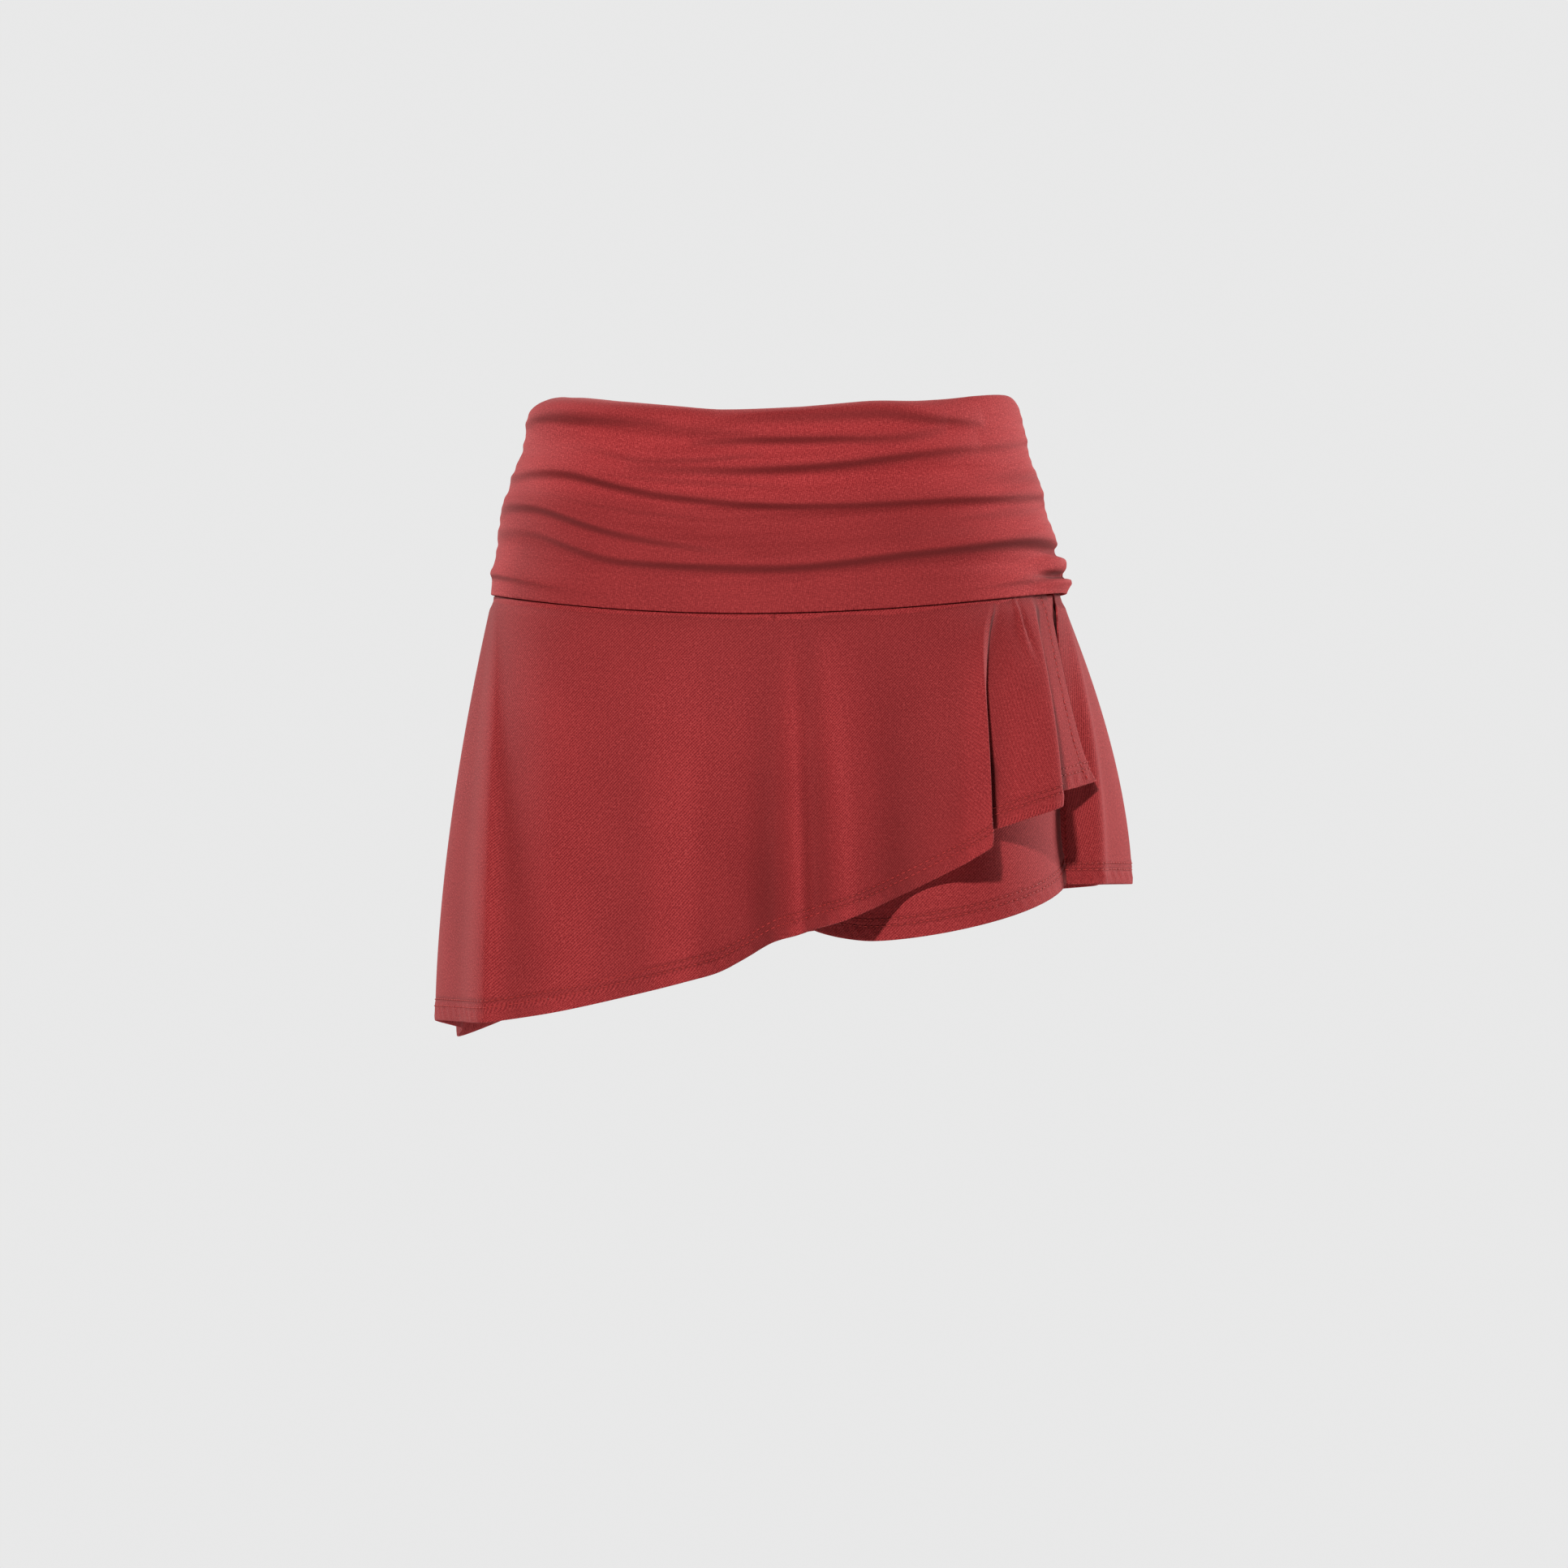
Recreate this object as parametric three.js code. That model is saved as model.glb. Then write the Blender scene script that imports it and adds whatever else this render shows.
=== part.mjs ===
// A skort: a ruched hip yoke, a flared skirt with a slanting hem that opens at the
// wearer's left hip, and a pair of short legs under it.
// Millimetres, +Z up. The front is towards -Y and the wearer's left towards +X.
// The origin is the middle of the waist opening.

import * as THREE from "three";

// ---------------------------------------------------------------- sizes

const YOKE_HEIGHT = 115; // from the waist edge to the seam of the skirt
const YOKE_WALL = 3; // the yoke is cut double
const SKIRT_WALL = 1.2;
const SHORTS_WALL = 1.2;
const SEAM_GAP = 0.3; // between any two pieces
const SKIRT_INSET = SEAM_GAP; // the skirt hangs from the outer side of the yoke's edge
const SHORTS_INSET = SKIRT_INSET + SKIRT_WALL + 2 * SEAM_GAP; // the shorts from its inner side

const WAIST_DIP = 14; // how much lower the waist edge is at the front
const WAIST_DIP_TURN = -5; // degrees, where it is lowest
const BACK_DIP = 4; // and at the back
const RIM_DROP = 12; // the waist edge rolls inwards over this height
const RIM_INSET = 13; // and by this much,
const RIM_SWAY = 6; // with this much more at the wearer's right and less at the left
const EDGE_HOLD = 8; // no fold dips in this near the yoke's lower edge

const HEM_RISE = 36; // the leg's hem is this much higher at the side than at the front
const HEM_LOWEST = -28; // degrees round the leg, where the hem is lowest
const HEM_BEND = 0.8; // how evenly it rises from there
const LEG_BELOW = 312; // the lowest point of the leg's hem, below the waist
const CROTCH_BELOW = 222;

// The general figure that the cut follows, from the waist down to the thigh. `half` is the
// outer side, `front` and `back` are depths from the middle, and `centre` is the middle of
// the leg, which parts from the body's middle above the crotch.
const FIGURE = [
  { below: 0, half: 141, front: 95, back: 95, centre: 0 },
  { below: 16, half: 143.3, front: 97, back: 100, centre: 0 },
  { below: 33, half: 146.4, front: 99.5, back: 107, centre: 0 },
  { below: 55, half: 153.8, front: 103.5, back: 117, centre: 0 },
  { below: 78, half: 159.3, front: 107.5, back: 125, centre: 0 },
  { below: 100, half: 162.5, front: 111, back: 131, centre: 0 },
  { below: 120, half: 164.8, front: 113, back: 134, centre: 0 },
  { below: 150, half: 165.6, front: 113.5, back: 134, centre: 0 },
  { below: 180, half: 166, front: 112, back: 131, centre: 18 },
  { below: 205, half: 166, front: 108, back: 124, centre: 56 },
  { below: 222, half: 166.2, front: 103, back: 116, centre: 82.6 },
  { below: 250, half: 167, front: 99, back: 107, centre: 87 },
  { below: 285, half: 171.5, front: 97, back: 103, centre: 90 },
  { below: 320, half: 174, front: 96, back: 101, centre: 91.5 },
];

// The folds drawn into the yoke by its side seams: a ridge with a trough under it. They run
// from one turn to another (degrees from the front, the wearer's left is +90). `path` is
// how far the trough is below the waist edge at even steps along the fold.
const RUCHES = [
  { name: "rim right", from: -98, to: -20, path: [22, 15, 10.5, 9.8, 10], rise: 3.4, trough: 2.4, width: 6 },
  { name: "rim hollow", from: -46, to: 6, path: [11, 11, 12, 14, 16], rise: 1.4, trough: 1.0, width: 9 },
  { name: "rim left", from: -14, to: 56, path: [8, 6.5, 6.3, 11, 16], rise: 3.1, trough: 2.2, width: 5.5 },
  { name: "upper middle", from: -19, to: 42, path: [19, 17, 17.5, 19, 17], rise: 3.6, trough: 2.5, width: 6.5 },
  { name: "short right", from: -56, to: -2, path: [25.5, 27, 30.5, 29, 25], rise: 1.8, trough: 1.3, width: 5 },
  { name: "upper left", from: -34, to: 52, path: [34, 34.4, 33, 30, 28], rise: 3.7, trough: 2.6, width: 6.5 },
  { name: "side left", from: 32, to: 112, path: [33, 29.5, 28, 27, 26], rise: 0.9, trough: 0.7, width: 6 },
  { name: "upper left side", from: 46, to: 134, path: [46, 47, 48, 48, 48], rise: 1.1, trough: 0.8, width: 9 },
  { name: "faint right", from: -42, to: 4, path: [39.5, 40, 41, 42.5, 44], rise: 0.9, trough: 0.7, width: 5 },
  { name: "long upper", from: -106, to: 114, path: [50, 47, 41.5, 49.3, 55, 56, 58.4, 59, 60], rise: 3.7, trough: 2.6, width: 6.5 },
  { name: "short middle", from: -66, to: -4, path: [51, 54, 57.8, 60.6, 64], rise: 1.9, trough: 1.4, width: 5.5 },
  { name: "left middle", from: 8, to: 78, path: [72, 70, 67, 66, 66], rise: 1.0, trough: 0.7, width: 7 },
  { name: "deep right", from: -112, to: -4, path: [69, 66, 62, 72.5, 81.5], rise: 4.6, trough: 3.3, width: 8 },
  { name: "long lower", from: -118, to: 116, path: [81, 79.5, 76.5, 87.5, 89, 84.5, 83.2, 88, 89], rise: 5.0, trough: 3.6, width: 8.5 },
  { name: "edge right", from: -116, to: -30, path: [107, 104.5, 103, 105, 109], rise: 2.0, trough: 1.4, width: 5 },
  { name: "edge left", from: 30, to: 104, path: [108, 107, 106, 105.2, 105], rise: 2.5, trough: 1.8, width: 5 },
  { name: "hip loop", from: 60, to: 124, path: [104, 104, 103, 103, 105], rise: 6.2, trough: 2.5, width: 4.5 },
  { name: "hip lip", from: 64, to: 118, path: [114, 113, 112, 112, 113], rise: 6.4, trough: 0, width: 4 },
  { name: "hip edge", from: 62, to: 132, path: [120, 120, 120, 120, 120], rise: 3.6, trough: 0, width: 6 },
  { name: "back rim", from: 98, to: 262, path: [13, 16, 12, 15, 12], rise: 1.5, trough: 1.1, width: 6 },
  { name: "back upper 1", from: 84, to: 206, path: [27, 33, 38, 36, 33], rise: 2.4, trough: 1.7, width: 7 },
  { name: "back upper 2", from: 160, to: 276, path: [44, 47, 43, 38, 40], rise: 2.3, trough: 1.6, width: 7 },
  { name: "back middle", from: 92, to: 240, path: [59, 64, 66, 62, 57], rise: 2.7, trough: 1.9, width: 7.5 },
  { name: "back short", from: 186, to: 268, path: [74, 77, 74, 69, 68], rise: 2.4, trough: 1.7, width: 6 },
  { name: "back lower", from: 96, to: 262, path: [84, 90, 93, 88, 80], rise: 2.9, trough: 2.1, width: 7.5 },
  { name: "back edge", from: 202, to: 266, path: [104, 106, 106, 105, 106], rise: 1.7, trough: 1.2, width: 5 },
];

// The lines of the skirt's flutes and folds, each hanging from its turn at the yoke to its
// place on the hem. They start at the back panel's free edge, go round the back to the
// right side seam and over the front to the front panel's free edge. `flare` is how early
// the line swings out: 1 hangs straight.
const FLUTES = [
  { name: "back edge", turn: 79, x: 167.5, y: -30, below: 281, flare: 1.3 },
  { name: "back edge lap", turn: 82.5, x: 178, y: -26, below: 281, flare: 1.5 },
  { name: "hip crest", turn: 87.5, x: 189.5, y: -20, below: 281, flare: 2 },
  { name: "hip crease", turn: 90.5, x: 192, y: -12, below: 281, flare: 2 },
  { name: "hip side", turn: 96.5, x: 208.5, y: 28, below: 282, flare: 1.7 },
  { name: "back flute 1", turn: 103, x: 192, y: 62, below: 283, flare: 1.6 },
  { name: "back ridge 1", turn: 111, x: 189, y: 92, below: 284.5, flare: 1.5 },
  { name: "back flute 2", turn: 121, x: 153, y: 102, below: 288, flare: 1.5 },
  { name: "back ridge 2", turn: 131, x: 143, y: 136, below: 292, flare: 1.5 },
  { name: "back flute 3", turn: 143, x: 104, y: 139, below: 300, flare: 1.5 },
  { name: "back ridge 3", turn: 154, x: 80, y: 164, below: 305, flare: 1.5 },
  { name: "back flute 4", turn: 167, x: 38, y: 156, below: 311, flare: 1.5 },
  { name: "back ridge 4", turn: 179, x: 8, y: 174, below: 316, flare: 1.5 },
  { name: "back flute 5", turn: 192, x: -34, y: 157, below: 326, flare: 1.5 },
  { name: "back ridge 5", turn: 204, x: -68, y: 167, below: 337, flare: 1.5 },
  { name: "back flute 6", turn: 217, x: -106, y: 138, below: 346, flare: 1.5 },
  { name: "back ridge 6", turn: 229, x: -142, y: 134, below: 356, flare: 1.5 },
  { name: "back flute 7", turn: 240, x: -162, y: 110, below: 364.5, flare: 1.5 },
  { name: "back ridge 7", turn: 250, x: -187, y: 72, below: 373, flare: 1.5 },
  { name: "back flute 8", turn: 260, x: -184, y: 26, below: 366, flare: 1.6 },
  { name: "right side", turn: 270, x: -196, y: -10, below: 360, flare: 1.7 },
  { name: "side ridge", turn: 277, x: -179, y: -56, below: 358.5, flare: 1.6 },
  { name: "corner", turn: 282, x: -163, y: -91, below: 357.5, flare: 1.5 },
  { name: "side flute", turn: 286, x: -151, y: -91, below: 356, flare: 1.5 },
  { name: "broad flute right", turn: 304, x: -120, y: -106, below: 350.5, flare: 1.5 },
  { name: "broad flute left", turn: 325, x: -80, y: -116, below: 341.3, flare: 1.4 },
  { name: "front ridge 1", turn: 341, x: -49, y: -128, below: 333.2, flare: 1.4 },
  { name: "front flute 1", turn: 348, x: -31, y: -117, below: 328.4, flare: 1.3 },
  { name: "front ridge 2", turn: 353.5, x: -17, y: -107, below: 321.4, flare: 1.3 },
  { name: "front flute 2", turn: 359, x: -1, y: -97, below: 312.4, flare: 1.2 },
  { name: "front ridge 3", turn: 363, x: 14, y: -110, below: 307.6, flare: 1.3 },
  { name: "front flute 3", turn: 366, x: 23, y: -104, below: 304.6, flare: 1.2 },
  { name: "front ridge 4", turn: 371, x: 42, y: -121, below: 298.4, flare: 1.4 },
  { name: "front flute 4", turn: 384, x: 74, y: -100, below: 284.4, flare: 1.2 },
  { name: "front ridge 5", turn: 395, x: 96, y: -106, below: 273.4, flare: 1.3 },
  { name: "front flute 5", turn: 403, x: 109, y: -115, below: 266.5, flare: 1.6 },
  { name: "first fold", turn: 407, x: 122, y: -121, below: 258, flare: 1.8 },
  { name: "first turn under", turn: 408.6, x: 117, y: -111, below: 256.3, flare: 1.7 },
  { name: "first inner", turn: 410.2, x: 101, y: -106, below: 254.2, flare: 1.6 },
  { name: "first turn back", turn: 411.8, x: 106, y: -99.5, below: 252.2, flare: 1.5 },
  { name: "middle flute", turn: 413.6, x: 124, y: -97, below: 248.8, flare: 1.4 },
  { name: "middle ridge", turn: 417, x: 142, y: -97, below: 243, flare: 1.4 },
  { name: "second fold", turn: 423, x: 162, y: -89, below: 236, flare: 1.5 },
  { name: "second turn under", turn: 424.2, x: 159, y: -82, below: 234, flare: 1.4 },
  { name: "second inner", turn: 425.6, x: 148, y: -77, below: 231, flare: 1.3 },
  { name: "second turn back", turn: 427, x: 152, y: -68, below: 229, flare: 1.1 },
  { name: "last flute", turn: 429, x: 168, y: -50, below: 226.5, flare: 0.9 },
  { name: "front edge", turn: 432, x: 184, y: -30, below: 222, flare: 0.7 },
];

const FOLD_SWAY = 4; // how far the first fold laps over just under the yoke
const SWAY_REACH = 1.6; // over this many lines to each side
const SWAY_DOWN = 0.22; // and most at this share of the skirt's length
const BELLY = 8; // how far the body holds the front of the skirt out, half way down
const SEAM_PINCH = 0.6; // how much flatter the yoke's folds are where the side seams hold them
const SIDE_SEAM = 92; // degrees from the front
const PINCH_REACH = 24; // degrees

// How finely each piece is divided
const FRONT_YOKE_COLUMNS = 26;
const BACK_YOKE_COLUMNS = 22;
const YOKE_RADIUS = 110; // of the yoke's bend at its side seams
const RIM_ROWS = [0, 1, 3, 6, 10]; // drops from the waist edge
const RUCHE_PITCH = 3.7;
const EDGE_PITCH = 2.4; // near the yoke's lower edge
const EDGE_BAND = 22;
const SKIRT_COLUMN_PITCH = 11;
const SKIRT_ROWS = 10;
const SKIRT_CROWDING = 1.2; // its rows lie closer together near the yoke
const PLEAT_START = 0.1; // the skirt follows the yoke's form down to this share of its length
const LEG_COLUMNS = 11;
const LEG_ROWS = [0, 0.2, 0.4, 0.55, 0.67, 0.77, 0.86, 0.93, 1, 1.35, 1.7, 2]; // 1 is the crotch

const CLOTH = { roughness: 0.85, metalness: 0 };
const RED = { yoke: 0x953336, backYoke: 0x8c2f33, skirt: 0x983337, backSkirt: 0xa33d3f, shorts: 0x8d3034 };

// ---------------------------------------------------------------- small helpers

const radians = THREE.MathUtils.degToRad;
const mix = THREE.MathUtils.lerp;
const bump = (x) => Math.exp(-x * x * 2);

/** A smooth curve without overshoot through one column of a table. */
function lookup(table, key, column, at) {
  const last = table.length - 1;
  const place = THREE.MathUtils.clamp(at, table[0][key], table[last][key]);
  let i = 0;
  while (i < last - 1 && table[i + 1][key] < place) i += 1;
  const rate = (k) => {
    if (k < 0 || k >= last) return null;
    return (table[k + 1][column] - table[k][column]) / (table[k + 1][key] - table[k][key]);
  };
  const slope = (before, after) => {
    if (before === null) return after;
    if (after === null) return before;
    return before * after > 0 ? (2 * before * after) / (before + after) : 0;
  };
  const step = table[i + 1][key] - table[i][key];
  const s = (place - table[i][key]) / step;
  const m0 = slope(rate(i - 1), rate(i)) * step;
  const m1 = slope(rate(i), rate(i + 1)) * step;
  const p0 = table[i][column];
  const p1 = table[i + 1][column];
  const s2 = s * s;
  const s3 = s2 * s;
  return (2 * s3 - 3 * s2 + 1) * p0 + (s3 - 2 * s2 + s) * m0 + (3 * s2 - 2 * s3) * p1 + (s3 - s2) * m1;
}

/** Even steps from one value to another, both ends included. */
function steps(from, to, count) {
  return Array.from({ length: count + 1 }, (_, i) => mix(from, to, i / count));
}

/** The outward normal of a surface that runs round with u and down with v, from 0 to an end. */
function normalOf(surface, u, v, reach, end) {
  const above = surface(u, Math.max(v - reach, 0));
  const under = surface(u, Math.min(v + reach, end));
  const before = surface(u - reach, v);
  const after = surface(u + reach, v);
  return under.sub(above).cross(after.sub(before)).normalize();
}

/** A closed wall between two grids of points, the outer one seen from outside. */
function wall(outer, inner) {
  const rows = outer.length;
  const columns = outer[0].length;
  const positions = [];
  for (const grid of [outer, inner]) {
    for (const row of grid) {
      for (const point of row) positions.push(point.x, point.y, point.z);
    }
  }
  const out = (i, j) => i * columns + j;
  const back = (i, j) => rows * columns + i * columns + j;
  const index = [];
  const quad = (a, b, c, d) => index.push(a, b, c, a, c, d);
  for (let i = 0; i < rows - 1; i += 1) {
    for (let j = 0; j < columns - 1; j += 1) {
      quad(out(i, j), out(i + 1, j), out(i + 1, j + 1), out(i, j + 1));
      quad(back(i, j), back(i, j + 1), back(i + 1, j + 1), back(i + 1, j));
    }
  }
  for (let j = 0; j < columns - 1; j += 1) {
    quad(out(0, j), out(0, j + 1), back(0, j + 1), back(0, j));
    quad(out(rows - 1, j), back(rows - 1, j), back(rows - 1, j + 1), out(rows - 1, j + 1));
  }
  for (let i = 0; i < rows - 1; i += 1) {
    quad(out(i, 0), back(i, 0), back(i + 1, 0), out(i + 1, 0));
    quad(out(i, columns - 1), out(i + 1, columns - 1), back(i + 1, columns - 1), back(i, columns - 1));
  }
  const geometry = new THREE.BufferGeometry();
  geometry.setAttribute("position", new THREE.Float32BufferAttribute(positions, 3));
  geometry.setIndex(index);
  geometry.computeVertexNormals();
  return geometry;
}

/** A named piece of cloth in its own colour. */
function piece(name, geometry, color) {
  const material = new THREE.MeshStandardMaterial({ color, ...CLOTH });
  const mesh = new THREE.Mesh(geometry, material);
  mesh.name = name;
  return mesh;
}

// ---------------------------------------------------------------- yoke

/** How far the waist edge lies below the waist's highest level. */
function waistDip(turn) {
  const front = Math.max(0, Math.cos(radians(turn - WAIST_DIP_TURN)));
  const back = Math.max(0, -Math.cos(radians(turn)));
  return WAIST_DIP * front ** 2 + BACK_DIP * back ** 2;
}

/** The yoke without its folds. */
function plainYoke(turn, drop) {
  const below = drop + waistDip(turn);
  const rolled = Math.max(0, 1 - drop / RIM_DROP);
  const angle = radians(turn);
  const roll = RIM_INSET - RIM_SWAY * Math.sin(angle);
  const inset = roll * (1 - Math.sqrt(1 - rolled * rolled));
  const depth = Math.cos(angle) > 0 ? "front" : "back";
  return new THREE.Vector3(
    (lookup(FIGURE, "below", "half", below) - inset) * Math.sin(angle),
    -(lookup(FIGURE, "below", depth, below) - inset) * Math.cos(angle),
    -below,
  );
}

function yokeNormal(turn, drop) {
  return normalOf(plainYoke, turn, drop, 0.5, YOKE_HEIGHT);
}

/** How far the folds stand out of the plain yoke. */
function ruche(turn, drop) {
  const fromSeam = Math.abs(THREE.MathUtils.euclideanModulo(turn + 180, 360) - 180) - SIDE_SEAM;
  const gathering = 1 - SEAM_PINCH * bump(fromSeam / PINCH_REACH);
  let out = 0;
  for (const fold of RUCHES) {
    for (const here of [turn, turn - 360, turn + 360]) {
      const along = (here - fold.from) / (fold.to - fold.from);
      if (along <= 0 || along >= 1) continue;
      const held = fold.name.startsWith("hip") ? 1 : gathering;
      const fade = held * Math.sin(Math.PI * along) ** 0.7;
      const path = fold.path.map((down, i) => ({ share: i / (fold.path.length - 1), down }));
      const across = (drop - lookup(path, "share", "down", along)) / fold.width;
      out += fade * (fold.rise * bump(across + 1) - fold.trough * bump(across));
    }
  }
  return out < 0 ? out * Math.min(1, (YOKE_HEIGHT - drop) / EDGE_HOLD) : out;
}

function yokePoint(turn, drop, inset) {
  const lift = ruche(turn, drop) - inset;
  return plainYoke(turn, drop).addScaledVector(yokeNormal(turn, drop), lift);
}

function yokePanel(from, to, columns) {
  const trim = THREE.MathUtils.radToDeg(SEAM_GAP / 2 / YOKE_RADIUS);
  const turns = steps(from + trim, to - trim, columns);
  const edgeTop = YOKE_HEIGHT - EDGE_BAND;
  const rimEnd = RIM_ROWS[RIM_ROWS.length - 1];
  const middleRows = steps(rimEnd, edgeTop, Math.round((edgeTop - rimEnd) / RUCHE_PITCH));
  const edgeRows = steps(edgeTop, YOKE_HEIGHT, Math.round(EDGE_BAND / EDGE_PITCH));
  const drops = [...RIM_ROWS, ...middleRows.slice(1), ...edgeRows.slice(1)];
  const grid = (inset) => drops.map((drop) => turns.map((turn) => yokePoint(turn, drop, inset)));
  return wall(grid(0), grid(YOKE_WALL));
}

// ---------------------------------------------------------------- skirt

const HEM = new THREE.CatmullRomCurve3(
  FLUTES.map((line) => new THREE.Vector3(line.x, line.y, -line.below)),
  false,
  "centripetal",
);
const RIGHT_SIDE = FLUTES.findIndex((line) => line.name === "right side");
const LAST_LINE = FLUTES.length - 1;
const FIRST_FOLD = FLUTES.findIndex((line) => line.name === "first fold");
const LINES = FLUTES.map((line, order) => ({ order, turn: line.turn, flare: line.flare }));

/** A point of the skirt's outer face: `line` counts along FLUTES, `down` is 0 at the yoke. */
function skirtPoint(line, down) {
  const place = THREE.MathUtils.clamp(line, 0, LAST_LINE);
  const turn = lookup(LINES, "order", "turn", place);
  const top = yokePoint(turn, YOKE_HEIGHT, SKIRT_INSET);
  const hem = HEM.getPoint(place / LAST_LINE);
  const swing = 1 - (1 - down) ** lookup(LINES, "order", "flare", place);
  const lap = bump((place - FIRST_FOLD) / SWAY_REACH) * (down / SWAY_DOWN) * Math.exp(1 - down / SWAY_DOWN);
  const facing = Math.max(0, Math.cos(radians(turn)));
  const belly = BELLY * Math.sin(Math.PI * down) * facing ** 2;
  return new THREE.Vector3(
    mix(top.x, hem.x, swing) - FOLD_SWAY * lap,
    mix(top.y, hem.y, swing) - belly,
    mix(top.z - SEAM_GAP, hem.z, down),
  );
}

function skirtPanel(first, last) {
  const reach = (i) => HEM.points[i].distanceTo(HEM.points[i + 1]);
  const trim = (i) => SEAM_GAP / reach(i);
  const places = [];
  for (let i = first; i < last; i += 1) {
    const parts = Math.max(1, Math.round(reach(i) / SKIRT_COLUMN_PITCH));
    places.push(...steps(i, i + 1, parts).slice(0, parts));
  }
  places.push(last);
  if (first > 0) places[0] += trim(first);
  if (last < LAST_LINE) places[places.length - 1] -= trim(last - 1);
  const downs = steps(0, 1, SKIRT_ROWS).map((share) => share ** SKIRT_CROWDING);
  const outer = downs.map((down) => places.map((line) => skirtPoint(line, down)));
  const inner = downs.map((down, i) =>
    places.map((line, j) => {
      const normal = normalOf(skirtPoint, line, down, 0.01, 1);
      const hung = yokeNormal(lookup(LINES, "order", "turn", line), YOKE_HEIGHT);
      normal.lerp(hung, Math.max(0, 1 - down / PLEAT_START)).normalize();
      return outer[i][j].clone().addScaledVector(normal, -SKIRT_WALL);
    }),
  );
  return wall(outer, inner);
}

// ---------------------------------------------------------------- shorts

/** The lower edge of the plain yoke, where the shorts hang from it. */
function shortsEdge(turn) {
  const edge = plainYoke(turn, YOKE_HEIGHT);
  edge.addScaledVector(yokeNormal(turn, YOKE_HEIGHT), -SHORTS_INSET);
  edge.z -= SEAM_GAP;
  return edge;
}

/**
 * A point of a leg's outer face. `side` is +1 for the wearer's left. `share` goes from the
 * inner seam round to the side, and `level` from the yoke over the crotch (1) to the hem (2).
 */
function legPoint(side, depth, share, level) {
  const quarter = depth === "front" ? share * 90 : 180 - share * 90;
  const top = -shortsEdge(side * quarter).z;
  const sweep = (mix(-90, 90, share) - HEM_LOWEST) / (90 - HEM_LOWEST);
  const hem = LEG_BELOW - HEM_RISE * (1 - Math.cos(radians(sweep * 90))) ** HEM_BEND;
  const below = level < 1 ? mix(top, CROTCH_BELOW, level) : mix(CROTCH_BELOW, hem, level - 1);
  const half = lookup(FIGURE, "below", "half", below) - SHORTS_INSET;
  const reach = lookup(FIGURE, "below", depth, below) - SHORTS_INSET;
  const centre = lookup(FIGURE, "below", "centre", below);
  const trim = SEAM_GAP / 2 / reach;
  const start = Math.asin(Math.max(-1, (SEAM_GAP / 2 - centre) / (half - centre)));
  const angle = mix(Math.max(start, trim - Math.PI / 2), Math.PI / 2 - trim, share);
  const towards = depth === "front" ? -1 : 1;
  return new THREE.Vector3(
    side * (centre + (half - centre) * Math.sin(angle)),
    towards * reach * Math.cos(angle),
    -below,
  );
}

function legPanel(side, depth) {
  const shares = steps(0, 1, LEG_COLUMNS);
  const turned = (depth === "back") !== (side < 0);
  if (turned) shares.reverse();
  const sign = turned ? -1 : 1;
  const surface = (share, level) => legPoint(side, depth, THREE.MathUtils.clamp(share, 0, 1), level);
  const outer = LEG_ROWS.map((level) => shares.map((share) => surface(share, level)));
  const inner = LEG_ROWS.map((level, i) =>
    shares.map((share, j) => {
      const normal = normalOf(surface, share, level, 0.02, 2);
      return outer[i][j].clone().addScaledVector(normal, -SHORTS_WALL * sign);
    }),
  );
  return wall(outer, inner);
}

// ---------------------------------------------------------------- the skort

const skort = new THREE.Group();
skort.name = "skort";
skort.add(
  piece("yoke_front", yokePanel(-90, 90, FRONT_YOKE_COLUMNS), RED.yoke),
  piece("yoke_back", yokePanel(90, 270, BACK_YOKE_COLUMNS), RED.backYoke),
  piece("skirt_front", skirtPanel(RIGHT_SIDE, LAST_LINE), RED.skirt),
  piece("skirt_back", skirtPanel(0, RIGHT_SIDE), RED.backSkirt),
);
for (const [sideName, side] of [["left", 1], ["right", -1]]) {
  for (const depth of ["front", "back"]) {
    skort.add(piece(`shorts_${depth}_${sideName}`, legPanel(side, depth), RED.shorts));
  }
}

export default skort;
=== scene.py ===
"""The looks of a skort: a ruched hip yoke, a flared skirt with a slanting hem, and shorts.

The cloth pieces are worked out in millimetres from the garment's own sizes, and made in metres.
The front is towards -Y, the wearer's left towards +X, and the origin is the middle of the
waist opening. `turn` is in degrees round the body from the front, the wearer's left at +90.
"""

import math

import bpy
import numpy as np
from bpy.props import FloatProperty, FloatVectorProperty, PointerProperty
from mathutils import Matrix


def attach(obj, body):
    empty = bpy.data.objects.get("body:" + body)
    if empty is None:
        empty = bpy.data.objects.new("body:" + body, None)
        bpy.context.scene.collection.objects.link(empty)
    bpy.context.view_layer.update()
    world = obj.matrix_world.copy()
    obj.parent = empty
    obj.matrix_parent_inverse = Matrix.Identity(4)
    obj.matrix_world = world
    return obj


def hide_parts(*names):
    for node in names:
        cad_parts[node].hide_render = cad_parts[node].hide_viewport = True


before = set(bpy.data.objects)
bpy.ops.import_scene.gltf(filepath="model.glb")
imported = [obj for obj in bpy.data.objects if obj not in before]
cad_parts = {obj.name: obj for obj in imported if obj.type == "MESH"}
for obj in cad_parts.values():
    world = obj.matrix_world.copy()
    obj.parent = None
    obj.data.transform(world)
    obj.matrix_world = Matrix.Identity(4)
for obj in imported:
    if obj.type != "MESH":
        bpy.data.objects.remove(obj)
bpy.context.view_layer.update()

bl_info = {
    "name": "Skort",
    "version": (1, 0, 0),
    "blender": (4, 5, 0),
    "location": "View3D > Sidebar > Skort",
    "description": "Makes a ruched skort with a slanting hem and shorts under it",
    "category": "Add Mesh",
}

BODY = "root"
MM = 0.001

# ---------------------------------------------------------------- the cut, in millimetres

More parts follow.
